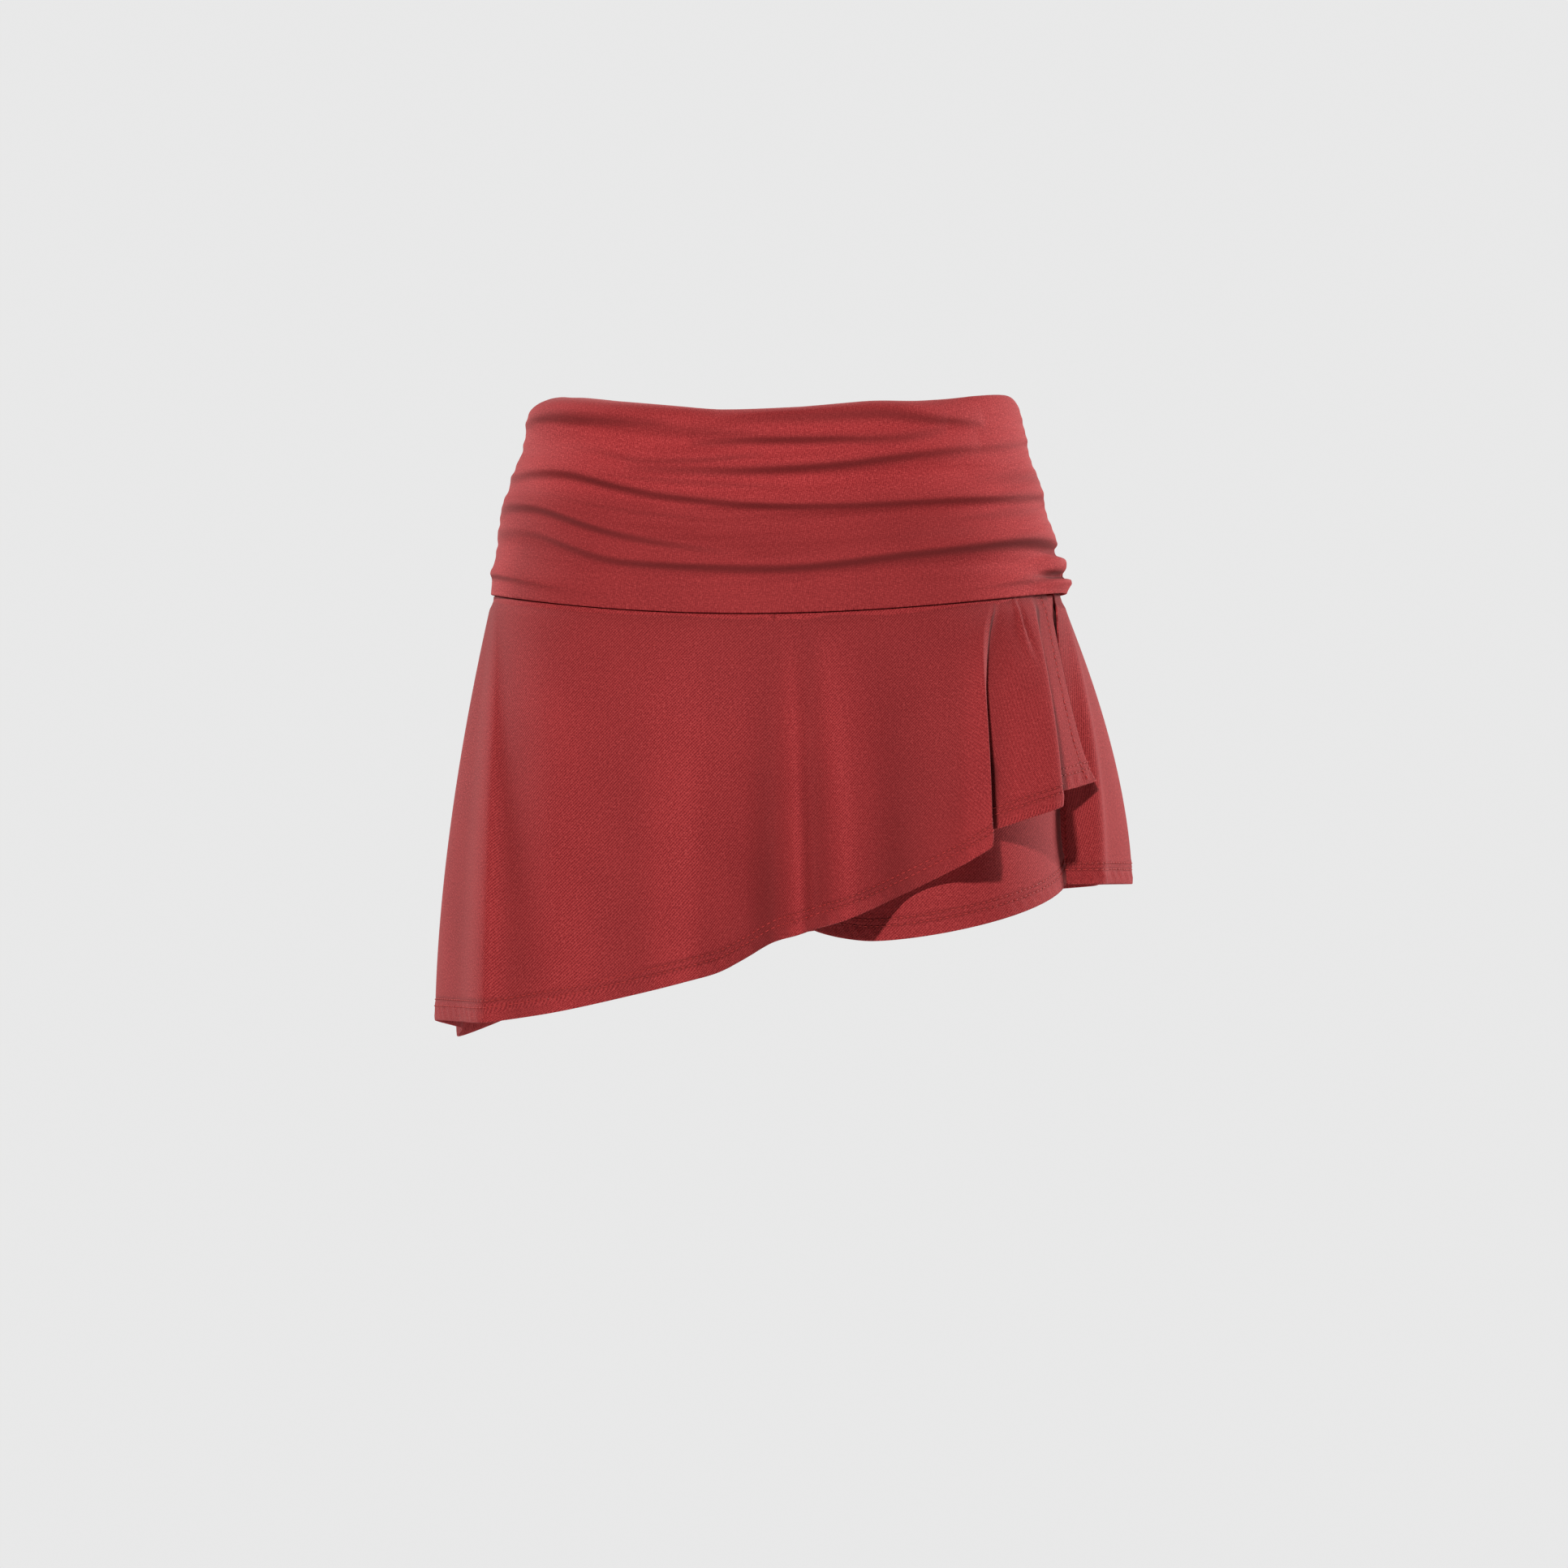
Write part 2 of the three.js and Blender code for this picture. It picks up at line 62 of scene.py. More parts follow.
YOKE_HEIGHT = 115.0
YOKE_EDGE = 1.2  # the yoke's folded lower edge ends this much above its full height
WAIST_DIP = 14.0  # how much lower the waist edge is at the front
WAIST_DIP_TURN = -5.0  # where it is lowest
BACK_DIP = 4.0  # and how much lower it is at the back
RIM_DROP = 12.0  # the waist edge rolls inwards over this height
RIM_INSET = 13.0  # and by this much,
RIM_SWAY = 6.0  # with this much more at the wearer's right and less at the left
EDGE_HOLD = 8.0  # no fold dips in this near the yoke's lower edge
HEM_RISE = 36.0  # the leg's hem is this much higher at the side than at the front
HEM_LOWEST = -28.0  # degrees round the leg, where the hem is lowest
HEM_BEND = 0.8  # how evenly it rises from there
LEG_BELOW = 312.0  # the lowest point of the leg's hem, below the waist
CROTCH_BELOW = 222.0
SHORTS_INSET = 1.8  # how far the shorts lie inside the figure
SEAM_DROP = 0.3  # the gap at a seam
SKIRT_INSET = 1.0  # how far the skirt lies inside the yoke's outer face
TUCK = 3.0  # the skirt and the shorts reach up this far behind the yoke

FIGURE_COLUMNS = ("below", "half", "front", "back", "centre")
FIGURE = [
    (0, 141, 95, 95, 0),
    (16, 143.3, 97, 100, 0),
    (33, 146.4, 99.5, 107, 0),
    (55, 153.8, 103.5, 117, 0),
    (78, 159.3, 107.5, 125, 0),
    (100, 162.5, 111, 131, 0),
    (120, 164.8, 113, 134, 0),
    (150, 165.6, 113.5, 134, 0),
    (180, 166, 112, 131, 18),
    (205, 166, 108, 124, 56),
    (222, 166.2, 103, 116, 82.6),
    (250, 167, 99, 107, 87),
    (285, 171.5, 97, 103, 90),
    (320, 174, 96, 101, 91.5),
]

# The folds drawn into the yoke by its side seams, from one turn to another: cloth swells
# slowly down to a crest, falls steeply and eases off. `path` is how far the steep part lies
# below the waist edge at even steps along the fold, `sag` how far the crest hangs, `peak`
# where along the fold it is deepest, and `width` its reach.
RUCHE_COLUMNS = ("name", "start", "end", "path", "rise", "width", "sag", "peak")
RUCHES = [
    ("rim right", -98, -20, (22, 15, 10.5, 9.8, 10), 8.0, 6, 0.8, 0.62),
    ("rim hollow", -46, 6, (11, 11, 12, 14, 16), 3.3, 9, 0.2, 0.6),
    ("rim left", -14, 56, (8, 6.5, 6.3, 11, 16), 7.5, 5.5, 0.5, 0.55),
    ("upper middle", -19, 42, (19, 17, 17.5, 19, 17), 8.5, 6.5, 1.2, 0.4),
    ("short right", -56, -2, (25.5, 27, 30.5, 29, 25), 4.2, 4.5, 0.6, 0.72),
    ("upper left", -34, 52, (34, 34.4, 33, 30, 28), 8.8, 6.5, 1.2, 0.52),
    ("side left", 32, 112, (33, 29.5, 28, 27, 26), 2.2, 6, 0.7, 0.4),
    ("upper left side", 46, 134, (46, 47, 48, 48, 48), 2.6, 9, 0, 0.5),
    ("faint right", -42, 4, (39.5, 40, 41, 42.5, 44), 2.2, 4.5, 0.4, 0.5),
    ("long upper", -106, 114, (50, 47, 41.5, 49.3, 55, 56, 58.4, 59, 60), 8.8, 6.5, 1.4, 0.42),
    ("short middle", -66, -4, (51, 54, 57.8, 60.6, 64), 4.6, 5.5, 0.7, 0.6),
    ("left middle", 8, 78, (72, 70, 67, 66, 66), 2.4, 7, 0.3, 0.5),
    ("deep right", -112, -4, (69, 66, 62, 72.5, 81.5), 11.0, 8, 1.8, 0.64),
    ("long lower", -118, 116, (81, 79.5, 76.5, 87.5, 89, 84.5, 83.2, 88, 89), 12.0, 8.5, 2.0, 0.64),
    ("edge right", -116, -30, (107, 104.5, 103, 105, 109), 4.8, 5, 1.0, 0.4),
    ("edge left", 30, 104, (108, 107, 106, 105.2, 105), 6.0, 4.5, 0.8, 0.72),
    ("back rim", 98, 262, (13, 16, 12, 15, 12), 3.6, 6, 0.7, 0.5),
    ("back upper 1", 84, 206, (27, 33, 38, 36, 33), 5.6, 7, 1.0, 0.4),
    ("back upper 2", 160, 276, (44, 47, 43, 38, 40), 5.4, 7, 1.0, 0.6),
    ("back middle", 92, 240, (59, 64, 66, 62, 57), 6.4, 7.5, 1.3, 0.4),
    ("back short", 186, 268, (74, 77, 74, 69, 68), 5.6, 6, 1.1, 0.6),
    ("back lower", 96, 262, (84, 90, 93, 88, 80), 7.0, 7.5, 1.5, 0.5),
    ("back edge", 202, 266, (104, 106, 106, 105, 106), 4.0, 5, 0.9, 0.6),
]
SETTLE = 0.25  # share of a fold's rise by which the cloth round it draws in
SEAM_PINCH = 0.6  # how much flatter the folds are where the side seams hold them
CREASE_TURN = -3.0  # the yoke's front is pressed along its middle
CREASE_RISE = 0.5

# The gathers bunched at the left hip, from the top down: a rolled loop, a dark hollow and a
# lip over the seam. `out` is how far the cloth stands out in front of the seam and `behind`
# past it, and `level` is its height.
HIP_COLUMNS = ("drop", "out", "behind", "level")
HIP_GATHERS = [
    (88, 0, 0, 88),
    (92, 1.4, 1.2, 92.4),
    (94, 4.2, 3.8, 93.9),
    (96, 6.2, 5.8, 95.3),
    (97.5, 6.7, 6.2, 97.2),
    (99, 6.4, 6.0, 99.6),
    (100.5, 4.8, 5.2, 101.6),
    (102, 0.4, 4.4, 102.8),
    (103.5, -2.2, 4.2, 104.2),
    (105, -0.6, 5.2, 105.6),
    (106.5, 5.0, 7.0, 106.4),
    (108, 7.9, 7.9, 107.4),
    (109.5, 8.1, 7.9, 109.2),
    (111, 6.8, 6.8, 110.8),
    (113, 5.2, 5.2, 113),
    (115, 4.2, 4.2, 115),
]
HIP_START, HIP_MIDDLE, HIP_END = 54, 88, 126  # turns
HIP_HELD = (0.3, 0.6)  # how much of their swell the skirt's top follows, in front and behind

# The lines of the skirt's flutes and folds: the turn where each hangs from the yoke, its
# place on the hem, and `flare`, how early it swings out. They start at the back panel's
# free edge, go round the back and end at the front panel's free edge.
FLUTE_COLUMNS = ("name", "turn", "x", "y", "below", "flare")
FLUTES = [
    ("back edge", 79, 167.5, -30, 281, 1.3),
    ("back edge lap", 82.5, 178, -26, 281, 1.5),
    ("hip crest", 87.5, 189.5, -20, 281, 2),
    ("hip crease", 90.5, 192, -12, 281, 2),
    ("hip side", 96.5, 208.5, 28, 282, 1.7),
    ("back flute 1", 103, 192, 62, 283, 1.6),
    ("back ridge 1", 111, 189, 92, 284.5, 1.5),
    ("back flute 2", 121, 153, 102, 288, 1.5),
    ("back ridge 2", 131, 143, 136, 292, 1.5),
    ("back flute 3", 143, 104, 139, 300, 1.5),
    ("back ridge 3", 154, 80, 164, 305, 1.5),
    ("back flute 4", 167, 38, 156, 311, 1.5),
    ("back ridge 4", 179, 8, 174, 316, 1.5),
    ("back flute 5", 192, -34, 157, 326, 1.5),
    ("back ridge 5", 204, -68, 167, 337, 1.5),
    ("back flute 6", 217, -106, 138, 346, 1.5),
    ("back ridge 6", 229, -142, 134, 356, 1.5),
    ("back flute 7", 240, -162, 110, 364.5, 1.5),
    ("back ridge 7", 250, -187, 72, 373, 1.5),
    ("back flute 8", 260, -184, 26, 366, 1.6),
    ("right side", 270, -196, -10, 360, 1.7),
    ("side ridge", 277, -179, -56, 358.5, 1.6),
    ("corner", 282, -163, -91, 357.5, 1.5),
    ("side flute", 286, -151, -91, 356, 1.5),
    ("broad flute right", 304, -120, -106, 350.5, 1.5),
    ("broad flute left", 325, -80, -116, 341.3, 1.4),
    ("front ridge 1", 341, -49, -128, 333.2, 1.4),
    ("front flute 1", 348, -31, -117, 328.4, 1.3),
    ("front ridge 2", 353.5, -17, -107, 321.4, 1.3),
    ("front flute 2", 359, -1, -97, 312.4, 1.2),
    ("front ridge 3", 363, 14, -110, 307.6, 1.3),
    ("front flute 3", 366, 23, -104, 304.6, 1.2),
    ("front ridge 4", 371, 42, -121, 298.4, 1.4),
    ("front flute 4", 384, 74, -100, 284.4, 1.2),
    ("front ridge 5", 395, 96, -106, 273.4, 1.3),
    ("front flute 5", 403, 109, -115, 266.5, 1.6),
    ("first fold", 409, 122, -121, 258, 1.8),
    ("first turn under", 409.8, 117, -111, 256.3, 1.7),
    ("first inner", 410.5, 101, -106, 254.2, 1.6),
    ("first turn back", 411.3, 106, -99.5, 252.2, 1.5),
    ("middle flute", 412.8, 124, -97, 248.8, 1.4),
    ("middle ridge", 417, 142, -97, 243, 1.4),
    ("second fold", 423, 162, -89, 236, 1.5),
    ("second turn under", 424.2, 159, -82, 234, 1.4),
    ("second inner", 425.6, 148, -77, 231, 1.3),
    ("second turn back", 427, 152, -68, 229, 1.1),
    ("last flute", 429, 168, -50, 226.5, 0.9),
    ("front edge", 432, 184, -30, 222, 0.7),
]
LINE_NAMES = [row[0] for row in FLUTES]
RIGHT_SIDE = LINE_NAMES.index("right side")
LAST_LINE = len(FLUTES) - 1
FIRST_FOLD = LINE_NAMES.index("first fold")
SECOND_FOLD = LINE_NAMES.index("second fold")
PLEAT = LINE_NAMES.index("middle ridge")
FOLD_SWAY = 6.0  # how far the first fold laps over just under the yoke
BELLY = 8.0  # how far the body holds the front of the skirt out, half way down

# Painted shade: how much darker the red is painted in the creases and flutes than on the crests and ridges
YOKE_SHADE = 0.85
BELLY_SHADE = 0.38
HIP_SHADE = 0.9
CREASE_DEEP = 9.5  # the rise of a fold whose crease gets the darkest painted shade
FLUTE_SHADE = 0.62
PLAIN_SHADE = 0.12  # painted shade between the flutes and the ridges, which the ridges lose so they look lighter
TURNED_SHADE = 0.8  # behind the folds
ROW_SHADE = 0.55  # in the grooves of the stitching

# Twin needle stitching: how far each row lies from the edge it follows
HEM_ROWS = (8.0, 11.8)
EDGE_ROW = 7.0
GROOVE_REACH = 1.2  # how wide the shade in a row's groove is
THREAD_LIFT = 0.12  # how far the middle of the thread lies above the groove

# How fine the grids of the cloth are
RIM_ROWS = 14
YOKE_FINE = 88.0  # the yoke's rows are closer together below this
YOKE_COLUMNS = 201
SKIRT_ROWS = 120
SKIRT_PITCH = 2.2  # along the hem
LEG_ROWS = (50, 70)  # above and below the crotch
LEG_COLUMNS = 91
FLUTE_REACH = 14  # columns to each side that tell a hollow from a ridge,
FLUTE_DEEP = 8.0  # and the depth of one that counts as fully hollow


class SkortSizes(bpy.types.PropertyGroup):
    """Sizes that a maker would change without a new cut"""

    yoke_thickness: FloatProperty(
        name="Yoke thickness", description="Thickness of the doubled yoke",
        default=1.8 * MM, min=1 * MM, max=3 * MM, unit="LENGTH",
    )
    cloth_thickness: FloatProperty(
        name="Cloth thickness", description="Thickness of one layer of cloth",
        default=1.0 * MM, min=0.5 * MM, max=1.2 * MM, unit="LENGTH",
    )
    stitch_pitch: FloatProperty(
        name="Stitch pitch", description="Distance from one stitch to the next",
        default=3.7 * MM, min=2 * MM, max=6 * MM, unit="LENGTH",
    )
    stitch_length: FloatProperty(
        name="Stitch length", description="Visible length of one stitch",
        default=2.9 * MM, min=1 * MM, max=5 * MM, unit="LENGTH",
    )
    thread_thickness: FloatProperty(
        name="Thread thickness", description="Thickness of the sewing thread",
        default=0.75 * MM, min=0.2 * MM, max=1 * MM, unit="LENGTH",
    )
    rib_pitch: FloatProperty(
        name="Rib pitch", description="Distance between the fine diagonal ribs of the knit",
        default=1.2 * MM, min=0.5 * MM, max=3 * MM, unit="LENGTH",
    )
    floor_below: FloatProperty(
        name="Floor below the waist", description="Height of the waist above the floor",
        default=1.1, min=0.5, max=2, unit="LENGTH",
    )
    camera_distance: FloatProperty(
        name="Camera distance", description="Distance of the camera from the middle of the skort",
        default=3.0, min=1, max=10, unit="LENGTH",
    )


def colour(name, description, red, green, blue):
    return FloatVectorProperty(
        name=name, description=description, subtype="COLOR", size=3, min=0, max=1,
        default=(red, green, blue),
    )


class SkortColours(bpy.types.PropertyGroup):
    """Colours of the cloth and the room, as linear values"""

    cloth: colour("Cloth", "Brick red of the jersey", 0.345, 0.033, 0.0345)
    cloth_shade: colour("Cloth between the ribs", "Darker red between the fine ribs", 0.15, 0.009, 0.0115)
    cloth_fibre: colour("Fibre tips", "Paler red of the brushed fibres", 0.50, 0.088, 0.082)
    thread: colour("Thread", "Red of the sewing thread", 0.36, 0.018, 0.016)
    room: colour("Room", "Pale grey of the room", 0.812, 0.812, 0.812)


# ---------------------------------------------------------------- curves and surfaces


def column(table, columns, name):
    return np.array([row[columns.index(name)] for row in table], float)


def smooth_curve(keys, values):
    """A smooth curve without overshoot through a table's points."""
    keys, values = np.asarray(keys, float), np.asarray(values, float)
    rates = np.diff(values) / np.diff(keys)
    slopes = np.concatenate([rates[:1], np.zeros(len(keys) - 2), rates[-1:]])
    rising = rates[:-1] * rates[1:] > 0
    total = np.where(rising, rates[:-1] + rates[1:], 1)
    slopes[1:-1] = np.where(rising, 2 * rates[:-1] * rates[1:] / total, 0)

    def at(place):
        place = np.clip(place, keys[0], keys[-1])
        i = np.clip(np.searchsorted(keys, place) - 1, 0, len(keys) - 2)
        step = keys[i + 1] - keys[i]
        s = (place - keys[i]) / step
        s2, s3 = s * s, s * s * s
        return (
            (2 * s3 - 3 * s2 + 1) * values[i]
            + (s3 - 2 * s2 + s) * slopes[i] * step
            + (3 * s2 - 2 * s3) * values[i + 1]
            + (s3 - s2) * slopes[i + 1] * step
        )

    return at


def figure(name):
    return smooth_curve(column(FIGURE, FIGURE_COLUMNS, "below"), column(FIGURE, FIGURE_COLUMNS, name))


HALF, FRONT, BACK, CENTRE = (figure(name) for name in FIGURE_COLUMNS[1:])
LINES = np.arange(len(FLUTES))
LINE_TURN = smooth_curve(LINES, column(FLUTES, FLUTE_COLUMNS, "turn"))
LINE_FLARE = smooth_curve(LINES, column(FLUTES, FLUTE_COLUMNS, "flare"))
HEM_POINTS = np.stack([column(FLUTES, FLUTE_COLUMNS, name) for name in ("x", "y", "below")], axis=-1)
HEM_POINTS[:, 2] *= -1
HIP_DROPS = column(HIP_GATHERS, HIP_COLUMNS, "drop")
HIP_OUT = smooth_curve(HIP_DROPS, column(HIP_GATHERS, HIP_COLUMNS, "out"))
HIP_BEHIND = smooth_curve(HIP_DROPS, column(HIP_GATHERS, HIP_COLUMNS, "behind"))
HIP_LEVEL = smooth_curve(HIP_DROPS, column(HIP_GATHERS, HIP_COLUMNS, "level"))
PATHS = [row[RUCHE_COLUMNS.index("path")] for row in RUCHES]
RUCHE_PATHS = [smooth_curve(np.linspace(0, 1, len(path)), path) for path in PATHS]


def mix(a, b, share):
    return a + (b - a) * share


def unit(vectors):
    return vectors / np.maximum(np.linalg.norm(vectors, axis=-1, keepdims=True), 1e-9)


def bump(x):
    return np.exp(-2 * x * x)


def ease(start, end, x):
    """0 before start and 1 after end, with a soft change between them."""
    s = np.clip((x - start) / (end - start), 0, 1)
    return s * s * (3 - 2 * s)


def hem_curve(line):
    """The hem through its points, as a centripetal spline."""
    points = HEM_POINTS
    ends = [2 * points[0] - points[1], 2 * points[-1] - points[-2]]
    padded = np.concatenate([ends[:1], points, ends[1:]])
    i = np.clip(np.floor(line).astype(int), 0, LAST_LINE - 1)
    t = (line - i)[..., None]
    p0, p1, p2, p3 = (padded[i + k] for k in range(4))
    spans = ((p0, p1), (p1, p2), (p2, p3))
    d0, d1, d2 = (np.sqrt(np.linalg.norm(b - a, axis=-1))[..., None] for a, b in spans)
    m1 = ((p1 - p0) / d0 - (p2 - p0) / (d0 + d1) + (p2 - p1) / d1) * d1
    m2 = ((p2 - p1) / d1 - (p3 - p1) / (d1 + d2) + (p3 - p2) / d2) * d1
    return p1 + m1 * t + (3 * (p2 - p1) - 2 * m1 - m2) * t**2 + (2 * (p1 - p2) + m1 + m2) * t**3


def normal_of(surface, u, v, reach, end):
    """The outward normal of a surface that runs round with u and down with v."""
    above, under = surface(u, np.maximum(v - reach, 0)), surface(u, np.minimum(v + reach, end))
    return unit(np.cross(under - above, surface(u + reach, v) - surface(u - reach, v)))


def waist_dip(turn):
    front = np.maximum(0, np.cos(np.radians(turn - WAIST_DIP_TURN)))
    back = np.maximum(0, -np.cos(np.radians(turn)))
    return WAIST_DIP * front**2 + BACK_DIP * back**2


def plain_yoke(turn, drop):
    """The yoke without its folds."""
    below = drop + waist_dip(turn)
    rolled = np.maximum(0, 1 - drop / RIM_DROP)
    angle = np.radians(turn)
    inset = (RIM_INSET - RIM_SWAY * np.sin(angle)) * (1 - np.sqrt(1 - rolled * rolled))
    depth = np.where(np.cos(angle) > 0, FRONT(below), BACK(below))
    across, back = (HALF(below) - inset) * np.sin(angle), -(depth - inset) * np.cos(angle)
    return np.stack([across, back, -below], axis=-1)


def yoke_normal(turn, drop):
    return normal_of(plain_yoke, turn, drop, 0.5, YOKE_HEIGHT)


def fold_section(x):
    """A fold's section, downwards: a slow swell, a round crest at -0.3 and a fall that eases off."""
    fall = np.maximum(0, x + 0.3) / 0.36
    return ease(-2.9, -0.3, x) * (1 + fall) * np.exp(-fall)


def folds_at(turn, drop):
    """For each fold: its rise and sag at a place, and how far the place lies below its path."""
    gathering = 1 - SEAM_PINCH * bump((np.abs(np.mod(turn + 180, 360) - 180) - 92) / 24)
    for (_, start, end, _, rise, width, hang, peak), path in zip(RUCHES, RUCHE_PATHS):
        for wrap in (0, 360, -360):
            along = (turn + wrap - start) / (end - start)
            inside = (along > 0) & (along < 1)
            if not inside.any():
                continue
            along = np.clip(along, 0, 1)
            evened = along ** (math.log(0.5) / math.log(peak))
            fade = np.where(inside, np.sin(np.pi * evened) ** 0.8, 0) * gathering
            yield fade * rise, fade * hang, (drop - path(along)) / width


def ruche(turn, drop):
    """How far the folds stand out of the plain yoke, and how far their crests hang down."""
    out, sag = np.zeros(np.shape(turn)), np.zeros(np.shape(turn))
    for rise, hang, across in folds_at(turn, drop):
        section = fold_section(across)
        out += rise * (section - SETTLE * bump((across + 1) / 2.5))
        sag += hang * section
    pressed = CREASE_RISE * np.exp(-np.abs(turn - CREASE_TURN) / 2.5) * ease(20, 50, drop)
    out += drag_lines(turn, drop) + pressed
    hold = np.clip((YOKE_HEIGHT - drop) / EDGE_HOLD, 0, 1)
    return np.where(out < 0, out * hold, out), sag * hold


def yoke_shade(turn, drop):
    """Painted shade: most in the folds' creases, in the hip's hollow, and a little over the belly's lower
    half.
    """
    # painted shade over the belly's lower half, and in the hollow under the hip's rolled loop
    belly = BELLY_SHADE * ease(44, 60, drop) * ease(-76, -60, turn) * ease(60, 30, turn)
    painted_shades = [belly, HIP_SHADE * hip_share(turn) * bump((HIP_LEVEL(drop) - 105) / 2)]
    for rise, _, across in folds_at(turn, drop):
        deep = np.clip(rise / CREASE_DEEP, 0, 1) ** 0.6
        painted_shades.append(YOKE_SHADE * deep * bump((across - 0.1) / 0.62) * ease(0, 5, drop))
    return np.max(painted_shades, axis=0)


def drag_lines(turn, drop):
    """Faint lines that the gathering draws through the cloth between the folds."""
    angle = np.radians(turn)
    first = drop + 7 * np.sin(1.3 * angle + 0.7) + 3 * np.sin(3.1 * angle)
    second = drop - 5 * np.sin(1.7 * angle + 2.0) + 2 * np.sin(4.3 * angle + 1.0)
    strength = ease(0, 14, drop) * ease(YOKE_HEIGHT, YOKE_HEIGHT - 14, drop)
    waves = 0.30 * np.sin(2 * np.pi * first / 10.5) * (0.6 + 0.4 * np.sin(2.7 * angle))
    waves += 0.18 * np.sin(2 * np.pi * second / 6.1) * (0.5 + 0.5 * np.sin(3.9 * angle + 2.4))
    return waves * strength


def hip_share(turn):
    """How much of the hip's gathers there is at a turn."""
    turn = np.mod(turn + 180, 360) - 180
    return ease(HIP_START, HIP_MIDDLE - 10, turn) * ease(HIP_END, HIP_MIDDLE + 10, turn)


def yoke_point(turn, drop, inset, held=1.0):
    out, sag = ruche(turn, drop)
    share = hip_share(turn)
    gathered = share * ease(85, 91, drop)
    swollen = mix(HIP_OUT(drop), HIP_BEHIND(drop), ease(84, 93, turn))
    out = mix(out, swollen * share * held, gathered)
    sag = mix(sag, (HIP_LEVEL(drop) - drop) * share, gathered)
    point = plain_yoke(turn, drop) + yoke_normal(turn, drop) * (out - inset)[..., None]
    point[..., 2] -= sag
    return point


def skirt_point(line, down, inset):
    """A point of the skirt's outer face: `line` counts along FLUTES, `down` is 0 at the yoke."""
    place = np.clip(line, 0, LAST_LINE)
    edge = np.full(np.shape(place), YOKE_HEIGHT)
    turn = np.mod(LINE_TURN(place) + 90, 360) - 90
    top = yoke_point(turn, edge, np.broadcast_to(inset, np.shape(place)), mix(*HIP_HELD, ease(76, 86, turn)))
    hem = hem_curve(place)
    swing = 1 - (1 - down) ** LINE_FLARE(place)
    sway = FOLD_SWAY * bump((place - FIRST_FOLD) / 1.6) * down / 0.22 * np.exp(1 - down / 0.22)
    belly = BELLY * np.sin(np.pi * down) * np.maximum(0, np.cos(np.radians(turn))) ** 2
    return np.stack(
        [mix(top[..., 0], hem[..., 0], swing) - sway, mix(top[..., 1], hem[..., 1], swing) - belly,
         mix(top[..., 2] - SEAM_DROP, hem[..., 2], down)],
        axis=-1,
    )


def leg_point(side, towards, share, level):
    """A point of a leg's outer face: `towards` is -1 for the front panel, `level` 1 at the crotch."""
    quarter = np.where(towards < 0, share * 90, 180 - share * 90)
    turn = side * quarter
    edge = np.full(np.shape(share), YOKE_HEIGHT)
    top = SEAM_DROP - (plain_yoke(turn, edge) - yoke_normal(turn, edge) * SHORTS_INSET)[..., 2]
    sweep = (mix(-90, 90, share) - HEM_LOWEST) / (90 - HEM_LOWEST)
    hem = LEG_BELOW - HEM_RISE * (1 - np.cos(np.radians(sweep * 90))) ** HEM_BEND
    below = np.where(level < 1, mix(top, CROTCH_BELOW, level), mix(CROTCH_BELOW, hem, level - 1))
    half = HALF(below) - SHORTS_INSET
    reach = (FRONT if towards < 0 else BACK)(below) - SHORTS_INSET
    centre = CENTRE(below)
    start = np.arcsin(np.clip((SEAM_DROP / 2 - centre) / (half - centre), -1, 1))
    angle = mix(start, np.pi / 2, share)
    return np.stack(
        [side * (centre + (half - centre) * np.sin(angle)), towards * reach * np.cos(angle), -below], axis=-1,
    )


# ---------------------------------------------------------------- meshes


def lengths_along(points, axis):
    """How far each point of a grid lies along its row or column."""
    steps = np.linalg.norm(np.diff(points, axis=axis), axis=-1)
    start = np.zeros_like(np.take(steps, [0], axis=axis))
    return np.concatenate([start, np.cumsum(steps, axis=axis)], axis=axis)


def grid_normals(points):
    """Outward normals of a grid whose rows go down and columns go round."""
    return unit(np.cross(np.gradient(points, axis=0), np.gradient(points, axis=1)))


def hollows(grid, axis, reach, deepest):
    """How far each point lies behind the cloth to both sides of it, or in front of it if
    below 0, as a share of `deepest`."""
    places = np.arange(grid.shape[axis])
    beside = [np.take(grid, np.clip(places + k, 0, len(places) - 1), axis) for k in range(-reach, reach + 1)]
    behind = np.sum((np.mean(beside, axis=0) - grid) * grid_normals(grid), axis=-1)
    return np.clip(behind / deepest, -1, 1)


def outward_edges(grid, rounded):
    """At each border point, which way the cloth would go on past a rounded edge."""
    onward = np.zeros_like(grid)
    if "top" in rounded:
        onward[0] += unit(grid[0] - grid[1])
    if "bottom" in rounded:
        onward[-1] += unit(grid[-1] - grid[-2])
    if "start" in rounded:
        onward[:, 0] += unit(grid[:, 0] - grid[:, 1])
    if "end" in rounded:
        onward[:, -1] += unit(grid[:, -1] - grid[:, -2])
    return onward


